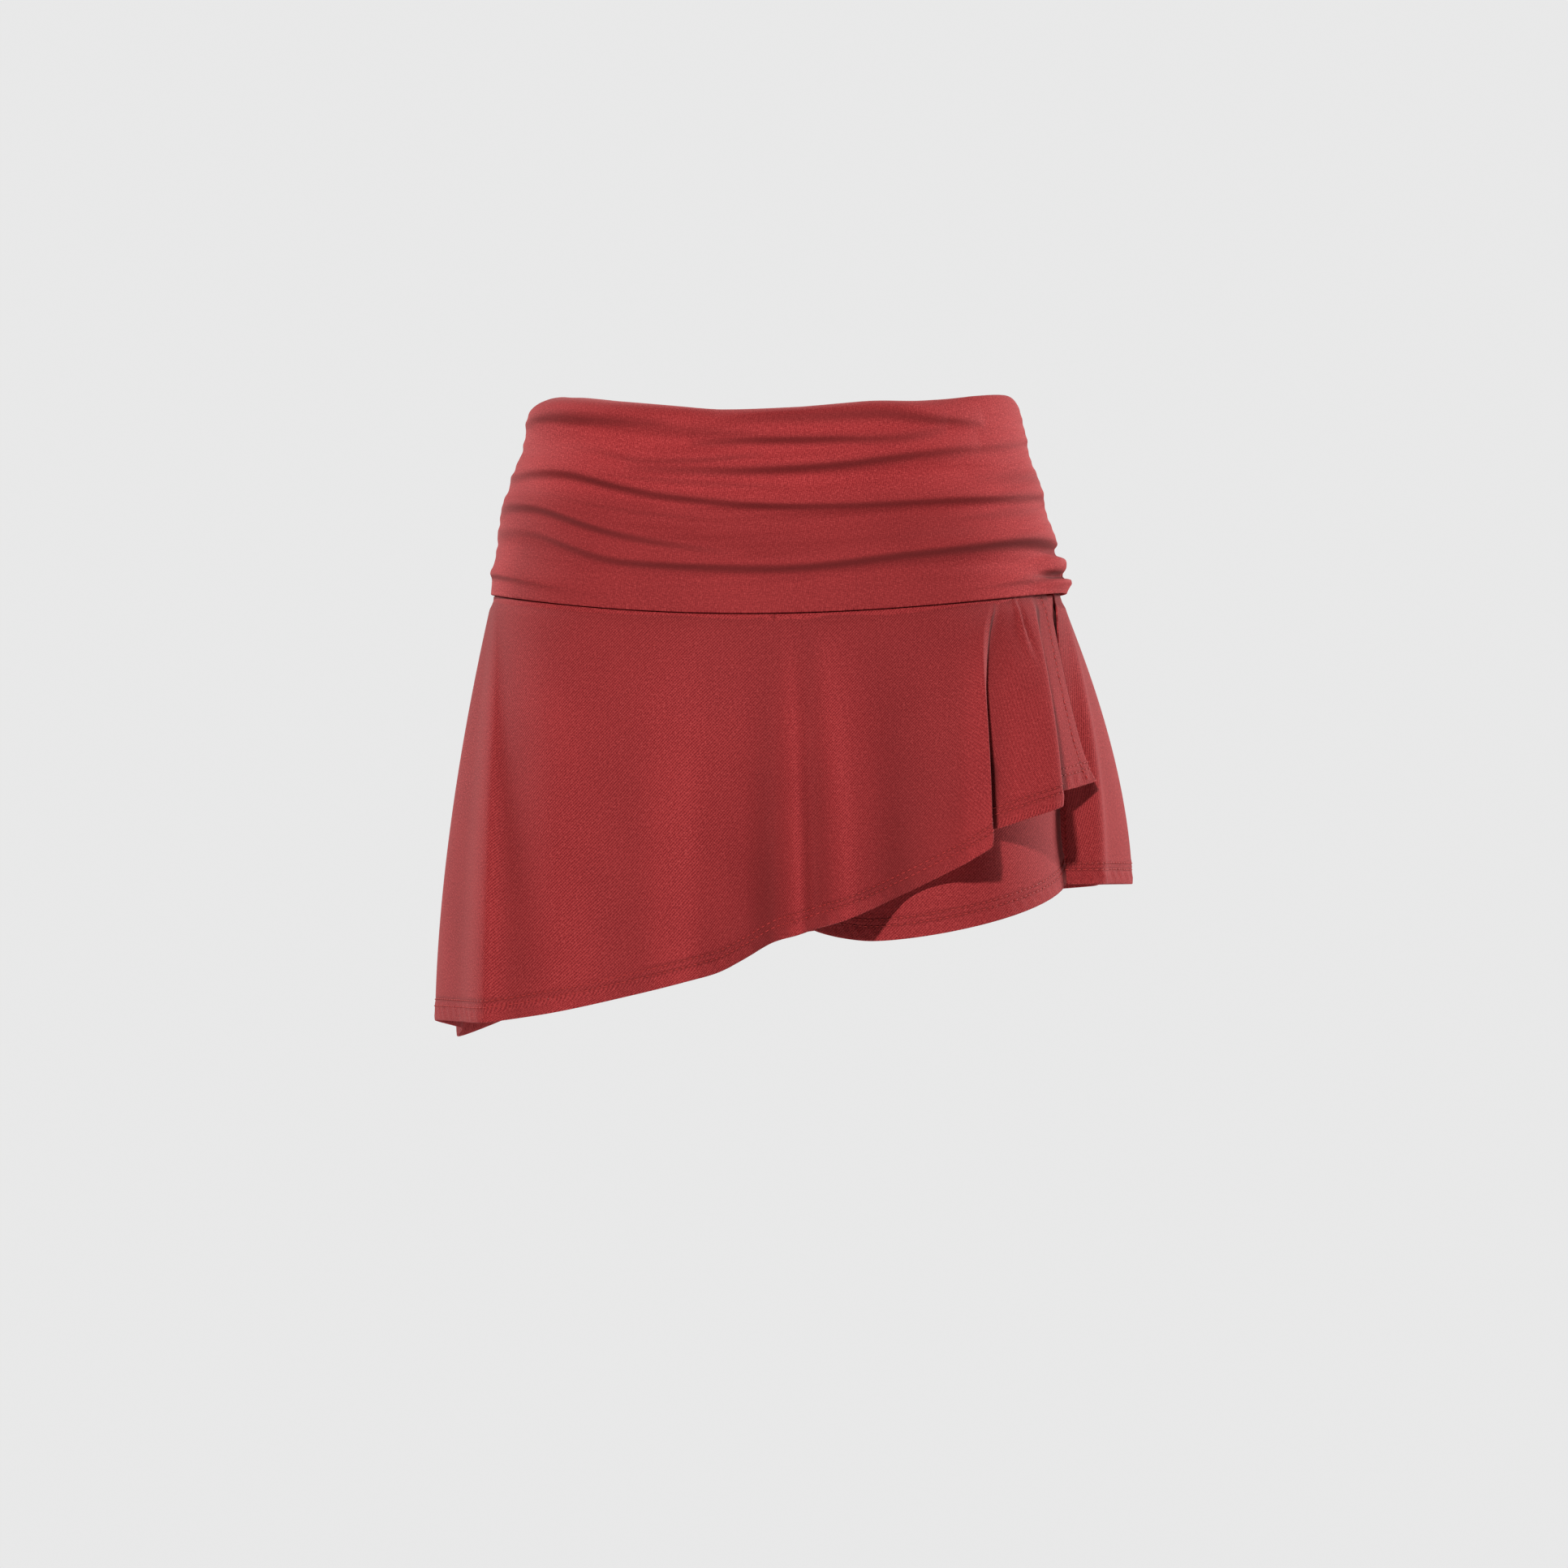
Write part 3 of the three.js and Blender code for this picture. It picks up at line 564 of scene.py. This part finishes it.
def shell(outer, inner, flat, rounded):
    """Points, faces and flat places of a closed wall between two grids."""
    rows, columns = outer.shape[:2]
    count = rows * columns
    at = np.arange(count).reshape(rows, columns)
    ring = np.concatenate([at[0, :-1], at[:-1, -1], at[-1, :0:-1], at[:0:-1, 0]])
    onward = outward_edges(outer, rounded).reshape(-1, 3)[ring]
    outside, inside = outer.reshape(-1, 3), inner.reshape(-1, 3)
    flats = flat.reshape(-1, 2)
    middle, half = (outside[ring] + inside[ring]) / 2, (outside[ring] - inside[ring]) / 2
    thick = np.linalg.norm(half, axis=-1, keepdims=True)
    axis = half / thick
    along = unit(onward - axis * np.sum(onward * axis, axis=-1, keepdims=True))
    points, places, loops = [outside, inside], [flats, flats], [ring]
    for k, angle in enumerate(np.radians((45, 90, 135))):
        points.append(middle + half * np.cos(angle) + along * thick * np.sin(angle))
        places.append(flats[ring])
        loops.append(2 * count + k * len(ring) + np.arange(len(ring)))
    loops.append(ring + count)
    quads = [
        np.stack([at[:-1, :-1], at[1:, :-1], at[1:, 1:], at[:-1, 1:]], axis=-1).reshape(-1, 4),
        np.stack([at[:-1, :-1], at[:-1, 1:], at[1:, 1:], at[1:, :-1]], axis=-1).reshape(-1, 4) + count,
    ]
    for here, there in zip(loops[:-1], loops[1:]):
        quads.append(np.stack([here, np.roll(here, -1), np.roll(there, -1), there], axis=-1))
    return np.concatenate(points), np.concatenate(quads), np.concatenate(places)


def add_object(name, mesh):
    made = bpy.data.objects.new(name, mesh)
    bpy.context.scene.collection.objects.link(made)
    return made


def cloth_object(name, outer, inner, material, rounded=(), shaded=None):
    """A piece of cloth from its outer and inner grids, with its own flat UV map in metres, and its painted
    shade, if given, stored on its points.
    """
    across, down = lengths_along(outer, 1), lengths_along(outer, 0)
    across = across - across[:, across.shape[1] // 2][:, None]
    flat = np.stack([across, -down], axis=-1) * MM
    points, quads, places = shell(outer, inner, flat, rounded)
    mesh = bpy.data.meshes.new(name)
    mesh.from_pydata((points * MM).tolist(), [], quads.tolist())
    mesh.polygons.foreach_set("use_smooth", np.ones(len(quads), bool))
    layer = mesh.uv_layers.new(name="cloth")
    layer.data.foreach_set("uv", places[quads.ravel()].ravel())
    # Painted shade: how much darker the red is painted where shade falls on this piece
    if shaded is not None:
        painted_shade = np.concatenate([shaded.ravel(), np.zeros(len(points) - shaded.size)])
        mesh.attributes.new("painted_shade", "FLOAT", "POINT").data.foreach_set("value", painted_shade)
    mesh.materials.append(material)
    mesh.update()
    return add_object(name, mesh)


# ---------------------------------------------------------------- shader maths


class Value:
    """A shader socket that takes part in Python expressions."""

    def __init__(self, tree, socket):
        self.tree, self.socket = tree, socket

    def _math(self, operation, *others):
        inputs = {0: self, **dict(enumerate(others, 1))}
        return self.tree.node("ShaderNodeMath", {"operation": operation}, inputs)

    def __add__(self, other):
        return self._math("ADD", other)

    def __mul__(self, other):
        return self._math("MULTIPLY", other)

    def __sub__(self, other):
        return self._math("SUBTRACT", other)

    def __rsub__(self, other):
        return self * -1 + other

    def __truediv__(self, other):
        return self._math("DIVIDE", other)

    __radd__, __rmul__ = __add__, __mul__

    def sine(self):
        return self._math("SINE")

    def power(self, exponent):
        return self._math("POWER", exponent)

    def clamped(self):
        return self.tree.node("ShaderNodeClamp", {}, {"Value": self})


class Shader:
    """A material's node tree, with one way to add any node."""

    def __init__(self, name):
        self.material = bpy.data.materials.new(name)
        self.material.use_nodes = True
        self.nodes = self.material.node_tree.nodes
        self.links = self.material.node_tree.links
        self.nodes.clear()

    def node(self, kind, settings, inputs, output=0):
        made = self.nodes.new(kind)
        for key, value in settings.items():
            setattr(made, key, value)
        for key, value in inputs.items():
            if isinstance(value, Value):
                self.links.new(value.socket, made.inputs[key])
            else:
                made.inputs[key].default_value = value
        return Value(self, made.outputs[output])

    def mixed(self, factor, first, second):
        """Two colours mixed by a factor."""
        inputs = {0: factor, 6: first, 7: second}
        return self.node("ShaderNodeMix", {"data_type": "RGBA"}, inputs, output=2)

    def finished(self, finish):
        """The material, with a surface of the given finish."""
        surface = self.node("ShaderNodeBsdfPrincipled", {}, finish)
        out = self.nodes.new("ShaderNodeOutputMaterial")
        self.links.new(surface.socket, out.inputs["Surface"])
        return self.material


def rgba(value):
    return (*value, 1.0)


def jersey(name, rib_strength, shade=1.0, rib_turn=45.0):
    """Brushed jersey: fine ribs and loops, flecked fibres and soft uneven dye."""
    sizes, colours = bpy.context.scene.skort_sizes, bpy.context.scene.skort_colours
    shader = Shader(name)
    uv = shader.node("ShaderNodeUVMap", {"uv_map": "cloth"}, {})
    parts = {"Vector": uv}
    across = shader.node("ShaderNodeSeparateXYZ", {}, parts, output=0)
    down = shader.node("ShaderNodeSeparateXYZ", {}, parts, output=1)
    turn = math.radians(rib_turn)
    wave = 2 * math.pi / sizes.rib_pitch
    ribs = ((across * math.sin(turn) - down * math.cos(turn)) * wave).sine() * 0.5 + 0.5
    loops = ((across * math.cos(turn) + down * math.sin(turn)) * (wave * 0.87)).sine() * 0.5 + 0.5

    def noise(scale, detail, roughness=0.6):
        inputs = {"Vector": uv, "Scale": scale, "Detail": detail, "Roughness": roughness}
        return shader.node("ShaderNodeTexNoise", {"noise_dimensions": "2D"}, inputs)

    fibre, fleck, dye = noise(1300.0, 2.0), noise(620.0, 2.0), noise(24.0, 3.0, 0.5)
    depth = ribs * (0.6 * rib_strength) + loops * (0.25 * rib_strength) + fibre * 1.1 + fleck * 0.6
    depth = depth - (0.425 * rib_strength + 0.55)
    tone = (depth * 1.3 + 0.15 + (dye - 0.5) * 0.3).clamped()
    dark = rgba([c * shade for c in colours.cloth_shade])
    plain = rgba([c * shade for c in colours.cloth])
    pale = rgba([c * shade for c in colours.cloth_fibre])
    base = shader.mixed(tone, dark, plain)
    tips = ((fibre + fleck * 0.6 - 0.86) * 2.6).clamped() * 0.45
    base = shader.mixed(tips, base, pale)
    # Painted shade: the red is mixed towards a darker red by the cloth's painted-shade attribute, in creases
    # and flutes, over the belly, under the yoke, behind the folds and in the stitching grooves
    painted_shade = shader.node("ShaderNodeAttribute", {"attribute_name": "painted_shade"}, {}, output=2)
    base = shader.mixed(painted_shade.clamped(), base, rgba([c * shade * 0.3 for c in colours.cloth]))
    height = shader.node(
        "ShaderNodeBump", {}, {"Strength": 0.35, "Distance": 0.00025, "Height": depth},
    )
    return shader.finished({
        "Base Color": base,
        "Roughness": 0.92 - fibre * 0.12,
        "Normal": height,
        "Specular IOR Level": 0.15,
        "Sheen Weight": 0.07,
        "Sheen Roughness": 0.4,
        "Sheen Tint": (1.0, 0.5, 0.48, 1.0),
    })


def thread_material():
    """Twisted polyester thread, a little brighter than the cloth."""
    colours = bpy.context.scene.skort_colours
    shader = Shader("sewing_thread")
    place = shader.node("ShaderNodeTexCoord", {}, {}, output=3)
    fleck = shader.node("ShaderNodeTexNoise", {}, {"Vector": place, "Scale": 2500.0, "Detail": 1.0})
    dark, bright = (rgba([c * share for c in colours.thread]) for share in (0.7, 1.2))
    return shader.finished({"Base Color": shader.mixed(fleck, dark, bright), "Roughness": 0.7 + fleck * 0.1})


def cloth_material(key):
    """The jersey of one group of pieces, made once."""
    finishes = {
        "yoke_jersey": {"rib_strength": 0.35, "rib_turn": 80.0, "shade": 1.2},
        "skirt_jersey": {"rib_strength": 1.0},
        "shorts_jersey": {"rib_strength": 0.8, "shade": 0.97},
    }
    return bpy.data.materials.get(key) or jersey(key, **finishes[key])


# ---------------------------------------------------------------- the pieces of cloth


def yoke_drops():
    """Rows of the yoke, closer together where it rolls in at the waist."""
    rim = RIM_DROP * (1 - np.cos(np.linspace(0, np.pi / 2, RIM_ROWS)))
    middle = np.arange(RIM_DROP + 1, YOKE_FINE, 1.0)
    edge = np.arange(YOKE_FINE, YOKE_HEIGHT - YOKE_EDGE, 0.6)
    return np.concatenate([rim, middle, edge, [YOKE_HEIGHT - YOKE_EDGE]])


def yoke_places(start, end):
    """The turns and drops of a yoke panel's grid."""
    drop, turn = np.meshgrid(yoke_drops(), np.linspace(start, end, YOKE_COLUMNS), indexing="ij")
    return turn, drop


def yoke_grids(start, end):
    thickness = bpy.context.scene.skort_sizes.yoke_thickness / MM
    turn, drop = yoke_places(start, end)
    outer = yoke_point(turn, drop, 0.0)
    below = np.maximum.accumulate(-outer[..., 2], axis=0)
    outer[..., 2] = -below
    return outer, outer - yoke_normal(turn, drop) * thickness


def skirt_lines(first, last, pitch):
    """Columns of a skirt panel, evenly spaced along the hem between its lines."""
    places = []
    for i in range(first, last):
        reach = np.linalg.norm(HEM_POINTS[i + 1] - HEM_POINTS[i])
        places.extend(np.linspace(i, i + 1, max(3, round(reach / pitch)), endpoint=False))
    return np.array([*places, last], float)


def skirt_places(first, last):
    """How far down and along the lines a skirt panel's grid lies."""
    downs = np.linspace(0, 1, SKIRT_ROWS) ** 1.15
    return np.meshgrid(downs, skirt_lines(first, last, SKIRT_PITCH), indexing="ij")


def skirt_grids(first, last, free_edge):
    """The outer and inner face of a skirt panel, with its hem worked in."""
    thickness = bpy.context.scene.skort_sizes.cloth_thickness / MM
    down, line = skirt_places(first, last)
    plain = skirt_point(line, down, SKIRT_INSET)
    if free_edge == "end":
        plain = plain + hip_pleat(line, down)[..., None] * grid_normals(plain)
    from_yoke = yoke_normal(LINE_TURN(line), np.full(line.shape, YOKE_HEIGHT))
    drop = lengths_along(plain, 0)
    plain = plain - from_yoke * (1.8 * ease(9, 0, drop))[..., None]
    plain[..., 2] += TUCK * ease(TUCK * 1.6, 0, drop)
    normals = grid_normals(plain)
    outer = plain + hem_relief(plain, free_edge)[..., None] * normals
    normals = unit(mix(normals, from_yoke, np.clip(1 - down / 0.1, 0, 1)[..., None]))
    return outer, outer - normals * thickness


def row_shade(grid, free_edge):
    """Painted shade in the grooves that the rows of stitching lie in."""
    down, across = lengths_along(grid, 0), lengths_along(grid, 1)
    above = down[-1] - down
    shade = sum(ROW_SHADE * bump((above - row) / GROOVE_REACH) for row in HEM_ROWS)
    if free_edge == "end":
        shade += ROW_SHADE * bump((across[:, -1][:, None] - across - EDGE_ROW) / GROOVE_REACH)
    return shade


def turned_shade(line, down):
    """The deep shade on the cloth that is turned back behind the two folds."""
    shade = 0
    for fold, start, reach, end in ((FIRST_FOLD, 2.1, 2.65, 4.1), (SECOND_FOLD, 2.75, 1.9, 3.9)):
        seen = np.minimum(start + reach * down, end) - (line - fold)
        shade = shade + ease(0.8, 1, line - fold) * ease(0, 0.2, seen)
    return TURNED_SHADE * shade * ease(0, 0.1, down)


def skirt_shade(outer, first, last, free_edge):
    """Painted shade: in flutes and folds, close under the yoke and at the sewing."""
    down, line = skirt_places(first, last)
    below = lengths_along(outer, 0)
    # painted shadow under the yoke's edge, and a little painted shade fading down the skirt's top
    under_yoke = 0.6 * np.exp(-((below / 4.5) ** 2)) + 0.2 * ease(70, 0, below)
    turned = turned_shade(line, down) if free_edge == "end" else 0
    # painted shade in the flutes' hollows, less on the ridges
    fluted = np.maximum(PLAIN_SHADE + hollows(outer, 1, FLUTE_REACH, FLUTE_DEEP) * FLUTE_SHADE, 0)
    return np.maximum(fluted, row_shade(outer, free_edge)) + under_yoke + turned


def hip_pleat(line, down):
    """A small pleat caught in the seam beside the second fold: a crease with a ridge by it."""
    across = line - (PLEAT + 0.1 + 1.7 * down)
    return (1.5 * bump((across + 0.2) / 0.2) - 1.6 * bump(across / 0.11)) * bump((down - 0.13) / 0.16)


def hem_relief(grid, free_edge):
    """The groove of the stitching and the soft puckers of the turned hem."""
    down, across = lengths_along(grid, 0), lengths_along(grid, 1)
    above = down[-1] - down
    relief = 0.25 * ease(14.5, 12.5, above)
    for row in HEM_ROWS:
        relief -= 0.32 * bump((above - row) / 0.9)
    pucker = np.sin(2 * np.pi * (across + 0.9 * above) / 9.3 + 1.7 * np.sin(across / 31))
    relief += 0.42 * pucker * bump((above - 4.5) / 4.5)
    if free_edge == "end":
        inward = across[:, -1][:, None] - across
        relief += 0.2 * ease(9.5, 8, inward) - 0.35 * bump((inward - EDGE_ROW) / 0.9)
    return relief * ease(0, 6, down)


def leg_grids(side, towards):
    thickness = bpy.context.scene.skort_sizes.cloth_thickness / MM
    shares = np.linspace(0, 1, LEG_COLUMNS)
    if (towards > 0) != (side < 0):
        shares = shares[::-1]
    above, below = LEG_ROWS
    levels = np.concatenate([np.linspace(0, 1, above, endpoint=False), np.linspace(1, 2, below)])
    level, share = np.meshgrid(levels, shares, indexing="ij")
    plain = leg_point(side, towards, share, level)
    normals = grid_normals(plain)
    outer = plain + hem_relief(plain, None)[..., None] * normals
    return outer, outer - normals * thickness


def finish_sheet(piece, node, flat, area):
    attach(piece, BODY)
    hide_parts(node)


class SKORT_OT_yoke(bpy.types.Operator):
    """Make the ruched yoke's front and back"""

    bl_idname = "skort.yoke"
    bl_label = "Yoke"

    def execute(self, context):
        cloth = cloth_material("yoke_jersey")
        for node, start, end in (("yoke_front", -90, 90), ("yoke_back", 90, 270)):
            outer, inner = yoke_grids(start, end)
            shaded = yoke_shade(*yoke_places(start, end))
            piece = cloth_object(node + "_cloth", outer, inner, cloth, ("top", "bottom"), shaded)
            finish_sheet(piece, node, (0.47, 0.15), area=0.063)
        return {"FINISHED"}


class SKORT_OT_skirt(bpy.types.Operator):
    """Make the skirt's front and back panel"""

    bl_idname = "skort.skirt"
    bl_label = "Skirt"

    def execute(self, context):
        cloth = cloth_material("skirt_jersey")
        for node, first, last, free_edge, flat, area in (
            ("skirt_front", RIGHT_SIDE, LAST_LINE, "end", (0.62, 0.25), 0.095),
            ("skirt_back", 0, RIGHT_SIDE, "start", (0.72, 0.26), 0.13),
        ):
            outer, inner = skirt_grids(first, last, free_edge)
            shaded = skirt_shade(outer, first, last, free_edge)
            piece = cloth_object(node + "_cloth", outer, inner, cloth, ("bottom", free_edge), shaded)
            finish_sheet(piece, node, flat, area=area)
        return {"FINISHED"}


class SKORT_OT_shorts(bpy.types.Operator):
    """Make the four panels of the shorts"""

    bl_idname = "skort.shorts"
    bl_label = "Shorts"

    def execute(self, context):
        cloth = cloth_material("shorts_jersey")
        for side_name, side in (("left", 1), ("right", -1)):
            for depth, towards, flat, area in (
                ("front", -1, (0.25, 0.21), 0.046),
                ("back", 1, (0.27, 0.21), 0.05),
            ):
                node = f"shorts_{depth}_{side_name}"
                outer, inner = leg_grids(side, towards)
                shaded = row_shade(outer, None)
                piece = cloth_object(node + "_cloth", outer, inner, cloth, ("bottom",), shaded)
                finish_sheet(piece, node, flat, area=area)
        return {"FINISHED"}


# ---------------------------------------------------------------- stitching


def rows_above_hem(grid, above):
    """A line on a cloth grid at an even distance above its hem, and the way out of the cloth."""
    down = lengths_along(grid, 0)
    normals = grid_normals(grid)
    distance = (down[-1] - down)[::-1]
    points, outs = [], []
    for j in range(grid.shape[1]):
        at = np.interp(above, distance[:, j], np.arange(len(distance)))
        i = min(int(at), len(distance) - 2)
        share = at - i
        points.append(mix(grid[::-1][i, j], grid[::-1][i + 1, j], share))
        outs.append(normals[::-1][i, j])
    return np.array(points), np.array(outs)


def rows_beside_edge(grid, inward):
    """A line down a cloth grid at an even distance from its last column."""
    turned = grid[:, ::-1]
    across = lengths_along(turned, 1)
    normals = grid_normals(grid)[:, ::-1]
    points, outs = [], []
    for i in range(2, grid.shape[0] - 3):
        at = np.interp(inward, across[i], np.arange(across.shape[1]))
        j = min(int(at), across.shape[1] - 2)
        points.append(mix(turned[i, j], turned[i, j + 1], at - j))
        outs.append(normals[i, j])
    return np.array(points), np.array(outs)


def stitch_tree():
    """Thread laid along a path at an even pitch, pressed into the cloth."""
    tree = bpy.data.node_groups.new("stitches", "GeometryNodeTree")
    face = tree.interface
    face.new_socket("Geometry", in_out="INPUT", socket_type="NodeSocketGeometry")
    for name in ("Pitch", "Length", "Thickness"):
        face.new_socket(name, in_out="INPUT", socket_type="NodeSocketFloat")
    face.new_socket("Thread", in_out="INPUT", socket_type="NodeSocketMaterial")
    face.new_socket("Geometry", in_out="OUTPUT", socket_type="NodeSocketGeometry")

    def node(kind, settings=None, inputs=None):
        made = tree.nodes.new(kind)
        for key, value in (settings or {}).items():
            setattr(made, key, value)
        for key, value in (inputs or {}).items():
            if isinstance(value, bpy.types.NodeSocket):
                tree.links.new(value, made.inputs[key])
            else:
                made.inputs[key].default_value = value
        return made

    given = node("NodeGroupInput")
    curve = node("GeometryNodeMeshToCurve", inputs={"Mesh": given.outputs["Geometry"]})
    spaced = node(
        "GeometryNodeResampleCurve", {"mode": "LENGTH"},
        {"Curve": curve.outputs[0], "Length": given.outputs["Pitch"]},
    )
    tangent = node("GeometryNodeInputTangent")
    out = node("GeometryNodeInputNamedAttribute", {"data_type": "FLOAT_VECTOR"}, {"Name": "out"})
    along = node(
        "FunctionNodeAlignRotationToVector", {"axis": "X"}, {"Vector": tangent.outputs[0]},
    )
    upright = node(
        "FunctionNodeAlignRotationToVector", {"axis": "Z", "pivot_axis": "X"},
        {"Rotation": along.outputs[0], "Vector": out.outputs[0]},
    )
    ball = node("GeometryNodeMeshUVSphere", inputs={"Segments": 6, "Rings": 5, "Radius": 0.5})
    length, thickness = given.outputs["Length"], given.outputs["Thickness"]
    size = node("ShaderNodeCombineXYZ", inputs={"X": length, "Y": thickness, "Z": thickness})
    laid = node("GeometryNodeInstanceOnPoints", inputs={
        "Points": spaced.outputs[0], "Instance": ball.outputs[0],
        "Rotation": upright.outputs[0], "Scale": size.outputs[0],
    })
    real = node("GeometryNodeRealizeInstances", inputs={0: laid.outputs[0]})
    smooth = node("GeometryNodeSetShadeSmooth", inputs={0: real.outputs[0]})
    named = {0: smooth.outputs[0], "Material": given.outputs["Thread"]}
    thread = node("GeometryNodeSetMaterial", inputs=named)
    done = node("NodeGroupOutput")
    tree.links.new(thread.outputs[0], done.inputs[0])
    return tree


def stitched(name, paths, material):
    """Stitches along some paths, as one plain mesh."""
    sizes = bpy.context.scene.skort_sizes
    points, edges, outs = [], [], []
    for line, out in paths:
        start = len(points)
        points.extend((line + out * THREAD_LIFT) * MM)
        outs.extend(out)
        edges.extend((start + i, start + i + 1) for i in range(len(line) - 1))
    guide = bpy.data.meshes.new(name + "_guide")
    guide.from_pydata([tuple(p) for p in points], edges, [])
    ways_out = guide.attributes.new("out", "FLOAT_VECTOR", "POINT")
    ways_out.data.foreach_set("vector", np.array(outs, np.float32).ravel())
    maker = add_object(name + "_guide", guide)
    tree = bpy.data.node_groups.get("stitches") or stitch_tree()
    layer = maker.modifiers.new("stitches", "NODES")
    layer.node_group = tree
    given = {
        "Pitch": sizes.stitch_pitch, "Length": sizes.stitch_length,
        "Thickness": sizes.thread_thickness, "Thread": material,
    }
    for item in tree.interface.items_tree:
        if item.in_out == "INPUT" and item.name in given:
            layer[item.identifier] = given[item.name]
    bpy.context.view_layer.update()
    evaluated = maker.evaluated_get(bpy.context.evaluated_depsgraph_get())
    mesh = bpy.data.meshes.new_from_object(evaluated)
    mesh.name = name
    bpy.data.objects.remove(maker)
    bpy.data.meshes.remove(guide)
    made = add_object(name, mesh)
    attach(made, BODY)
    return made


class SKORT_OT_stitching(bpy.types.Operator):
    """Sew the hems and the front panel's free edge"""

    bl_idname = "skort.stitching"
    bl_label = "Stitching"

    def execute(self, context):
        thread = thread_material()
        for name, first, last, free_edge in (
            ("skirt_front_stitching", RIGHT_SIDE, LAST_LINE, "end"),
            ("skirt_back_stitching", 0, RIGHT_SIDE, "start"),
        ):
            outer, _ = skirt_grids(first, last, free_edge)
            paths = [rows_above_hem(outer, row) for row in HEM_ROWS]
            if free_edge == "end":
                paths.append(rows_beside_edge(outer, EDGE_ROW))
            stitched(name, paths, thread)
        for side_name, side in (("left", 1), ("right", -1)):
            paths = []
            for towards in (-1, 1):
                outer, _ = leg_grids(side, towards)
                paths.extend(rows_above_hem(outer, row) for row in HEM_ROWS)
            stitched(f"shorts_{side_name}_stitching", paths, thread)
        return {"FINISHED"}


# ---------------------------------------------------------------- stage


def area_light(name, place, target, size, power, tint=(1, 1, 1)):
    """A soft round light at a place, facing a target."""
    light = bpy.data.lights.new(name, "AREA")
    light.shape, light.size, light.energy, light.color = "DISK", size, power, tint
    made = add_object(name, light)
    made.location = place
    away = np.array(place) - np.array(target)
    made.rotation_euler = (
        math.atan2(math.hypot(away[0], away[1]), away[2]), 0, math.atan2(away[0], -away[1]),
    )
    return made


class SKORT_OT_stage(bpy.types.Operator):
    """Set up the floor, the lights and the camera"""

    bl_idname = "skort.stage"
    bl_label = "Stage"

    def execute(self, context):
        scene = context.scene
        sizes, colours = scene.skort_sizes, scene.skort_colours
        mesh = bpy.data.meshes.new("floor")
        reach, low = 2.0, -sizes.floor_below
        corners = [(x * reach, y * reach, low) for x, y in ((-1, -1), (1, -1), (1, 1), (-1, 1))]
        mesh.from_pydata(corners, [], [(0, 1, 2, 3)])
        shader = Shader("pale_floor")
        place = shader.node("ShaderNodeTexCoord", {}, {}, output=3)
        grain = shader.node("ShaderNodeTexNoise", {}, {"Vector": place, "Scale": 60.0, "Detail": 3.0})
        base = shader.mixed(grain, rgba([c * 0.97 for c in colours.room]), rgba(colours.room))
        mesh.materials.append(shader.finished({"Base Color": base, "Roughness": 0.9}))
        add_object("floor", mesh)

        middle = (0.0, 0.0, -0.2)
        area_light("key light", (-0.36, -2.9, 1.22), middle, 0.16, 113.0, (1.0, 0.99, 0.97))
        area_light("left light", (-2.2, 1.35, 0.8), middle, 0.9, 76.0)
        area_light("right light", (2.4, 1.1, 0.55), middle, 0.9, 104.0)
        area_light("back light", (0.3, 2.6, 0.9), middle, 1.4, 18.0)

        world = bpy.data.worlds.new("room")
        scene.world = world
        world.use_nodes = True
        nodes, links = world.node_tree.nodes, world.node_tree.links
        nodes.clear()
        seen = nodes.new("ShaderNodeBackground")
        seen.inputs["Color"].default_value = rgba(colours.room)
        lit = nodes.new("ShaderNodeBackground")
        lit.inputs["Color"].default_value = rgba(colours.room)
        lit.inputs["Strength"].default_value = 0.01
        ray = nodes.new("ShaderNodeLightPath")
        either = nodes.new("ShaderNodeMixShader")
        out = nodes.new("ShaderNodeOutputWorld")
        links.new(ray.outputs["Is Camera Ray"], either.inputs[0])
        links.new(lit.outputs[0], either.inputs[1])
        links.new(seen.outputs[0], either.inputs[2])
        links.new(either.outputs[0], out.inputs["Surface"])

        camera = bpy.data.cameras.new("camera")
        camera.lens, camera.sensor_width = 119.0, 36.0
        camera.clip_end = 50
        made = add_object("camera", camera)
        made.location = (0.0052, -sizes.camera_distance, -0.224)
        made.rotation_euler = (math.pi / 2, 0, 0)
        scene.camera = made
        scene.view_settings.view_transform = "Standard"
        return {"FINISHED"}


class SKORT_PT_panel(bpy.types.Panel):
    """The skort's sizes, colours and pieces"""

    bl_idname = "SKORT_PT_panel"
    bl_label = "Skort"
    bl_space_type = "VIEW_3D"
    bl_region_type = "UI"
    bl_category = "Skort"

    def draw(self, context):
        layout = self.layout
        for group in (context.scene.skort_sizes, context.scene.skort_colours):
            box = layout.box()
            for key in group.bl_rna.properties.keys():
                if key not in ("rna_type", "name"):
                    box.prop(group, key)
        for operator in OPERATORS:
            layout.operator(operator.bl_idname)


OPERATORS = (SKORT_OT_yoke, SKORT_OT_skirt, SKORT_OT_shorts, SKORT_OT_stitching, SKORT_OT_stage)
CLASSES = (SkortSizes, SkortColours, *OPERATORS, SKORT_PT_panel)


def register():
    for item in CLASSES:
        bpy.utils.register_class(item)
    bpy.types.Scene.skort_sizes = PointerProperty(type=SkortSizes)
    bpy.types.Scene.skort_colours = PointerProperty(type=SkortColours)


def unregister():
    del bpy.types.Scene.skort_colours
    del bpy.types.Scene.skort_sizes
    for item in reversed(CLASSES):
        bpy.utils.unregister_class(item)


def main():
    register()
    bpy.ops.skort.yoke()
    bpy.ops.skort.skirt()
    bpy.ops.skort.shorts()
    bpy.ops.skort.stitching()
    bpy.ops.skort.stage()


if __name__ == "__main__":
    main()
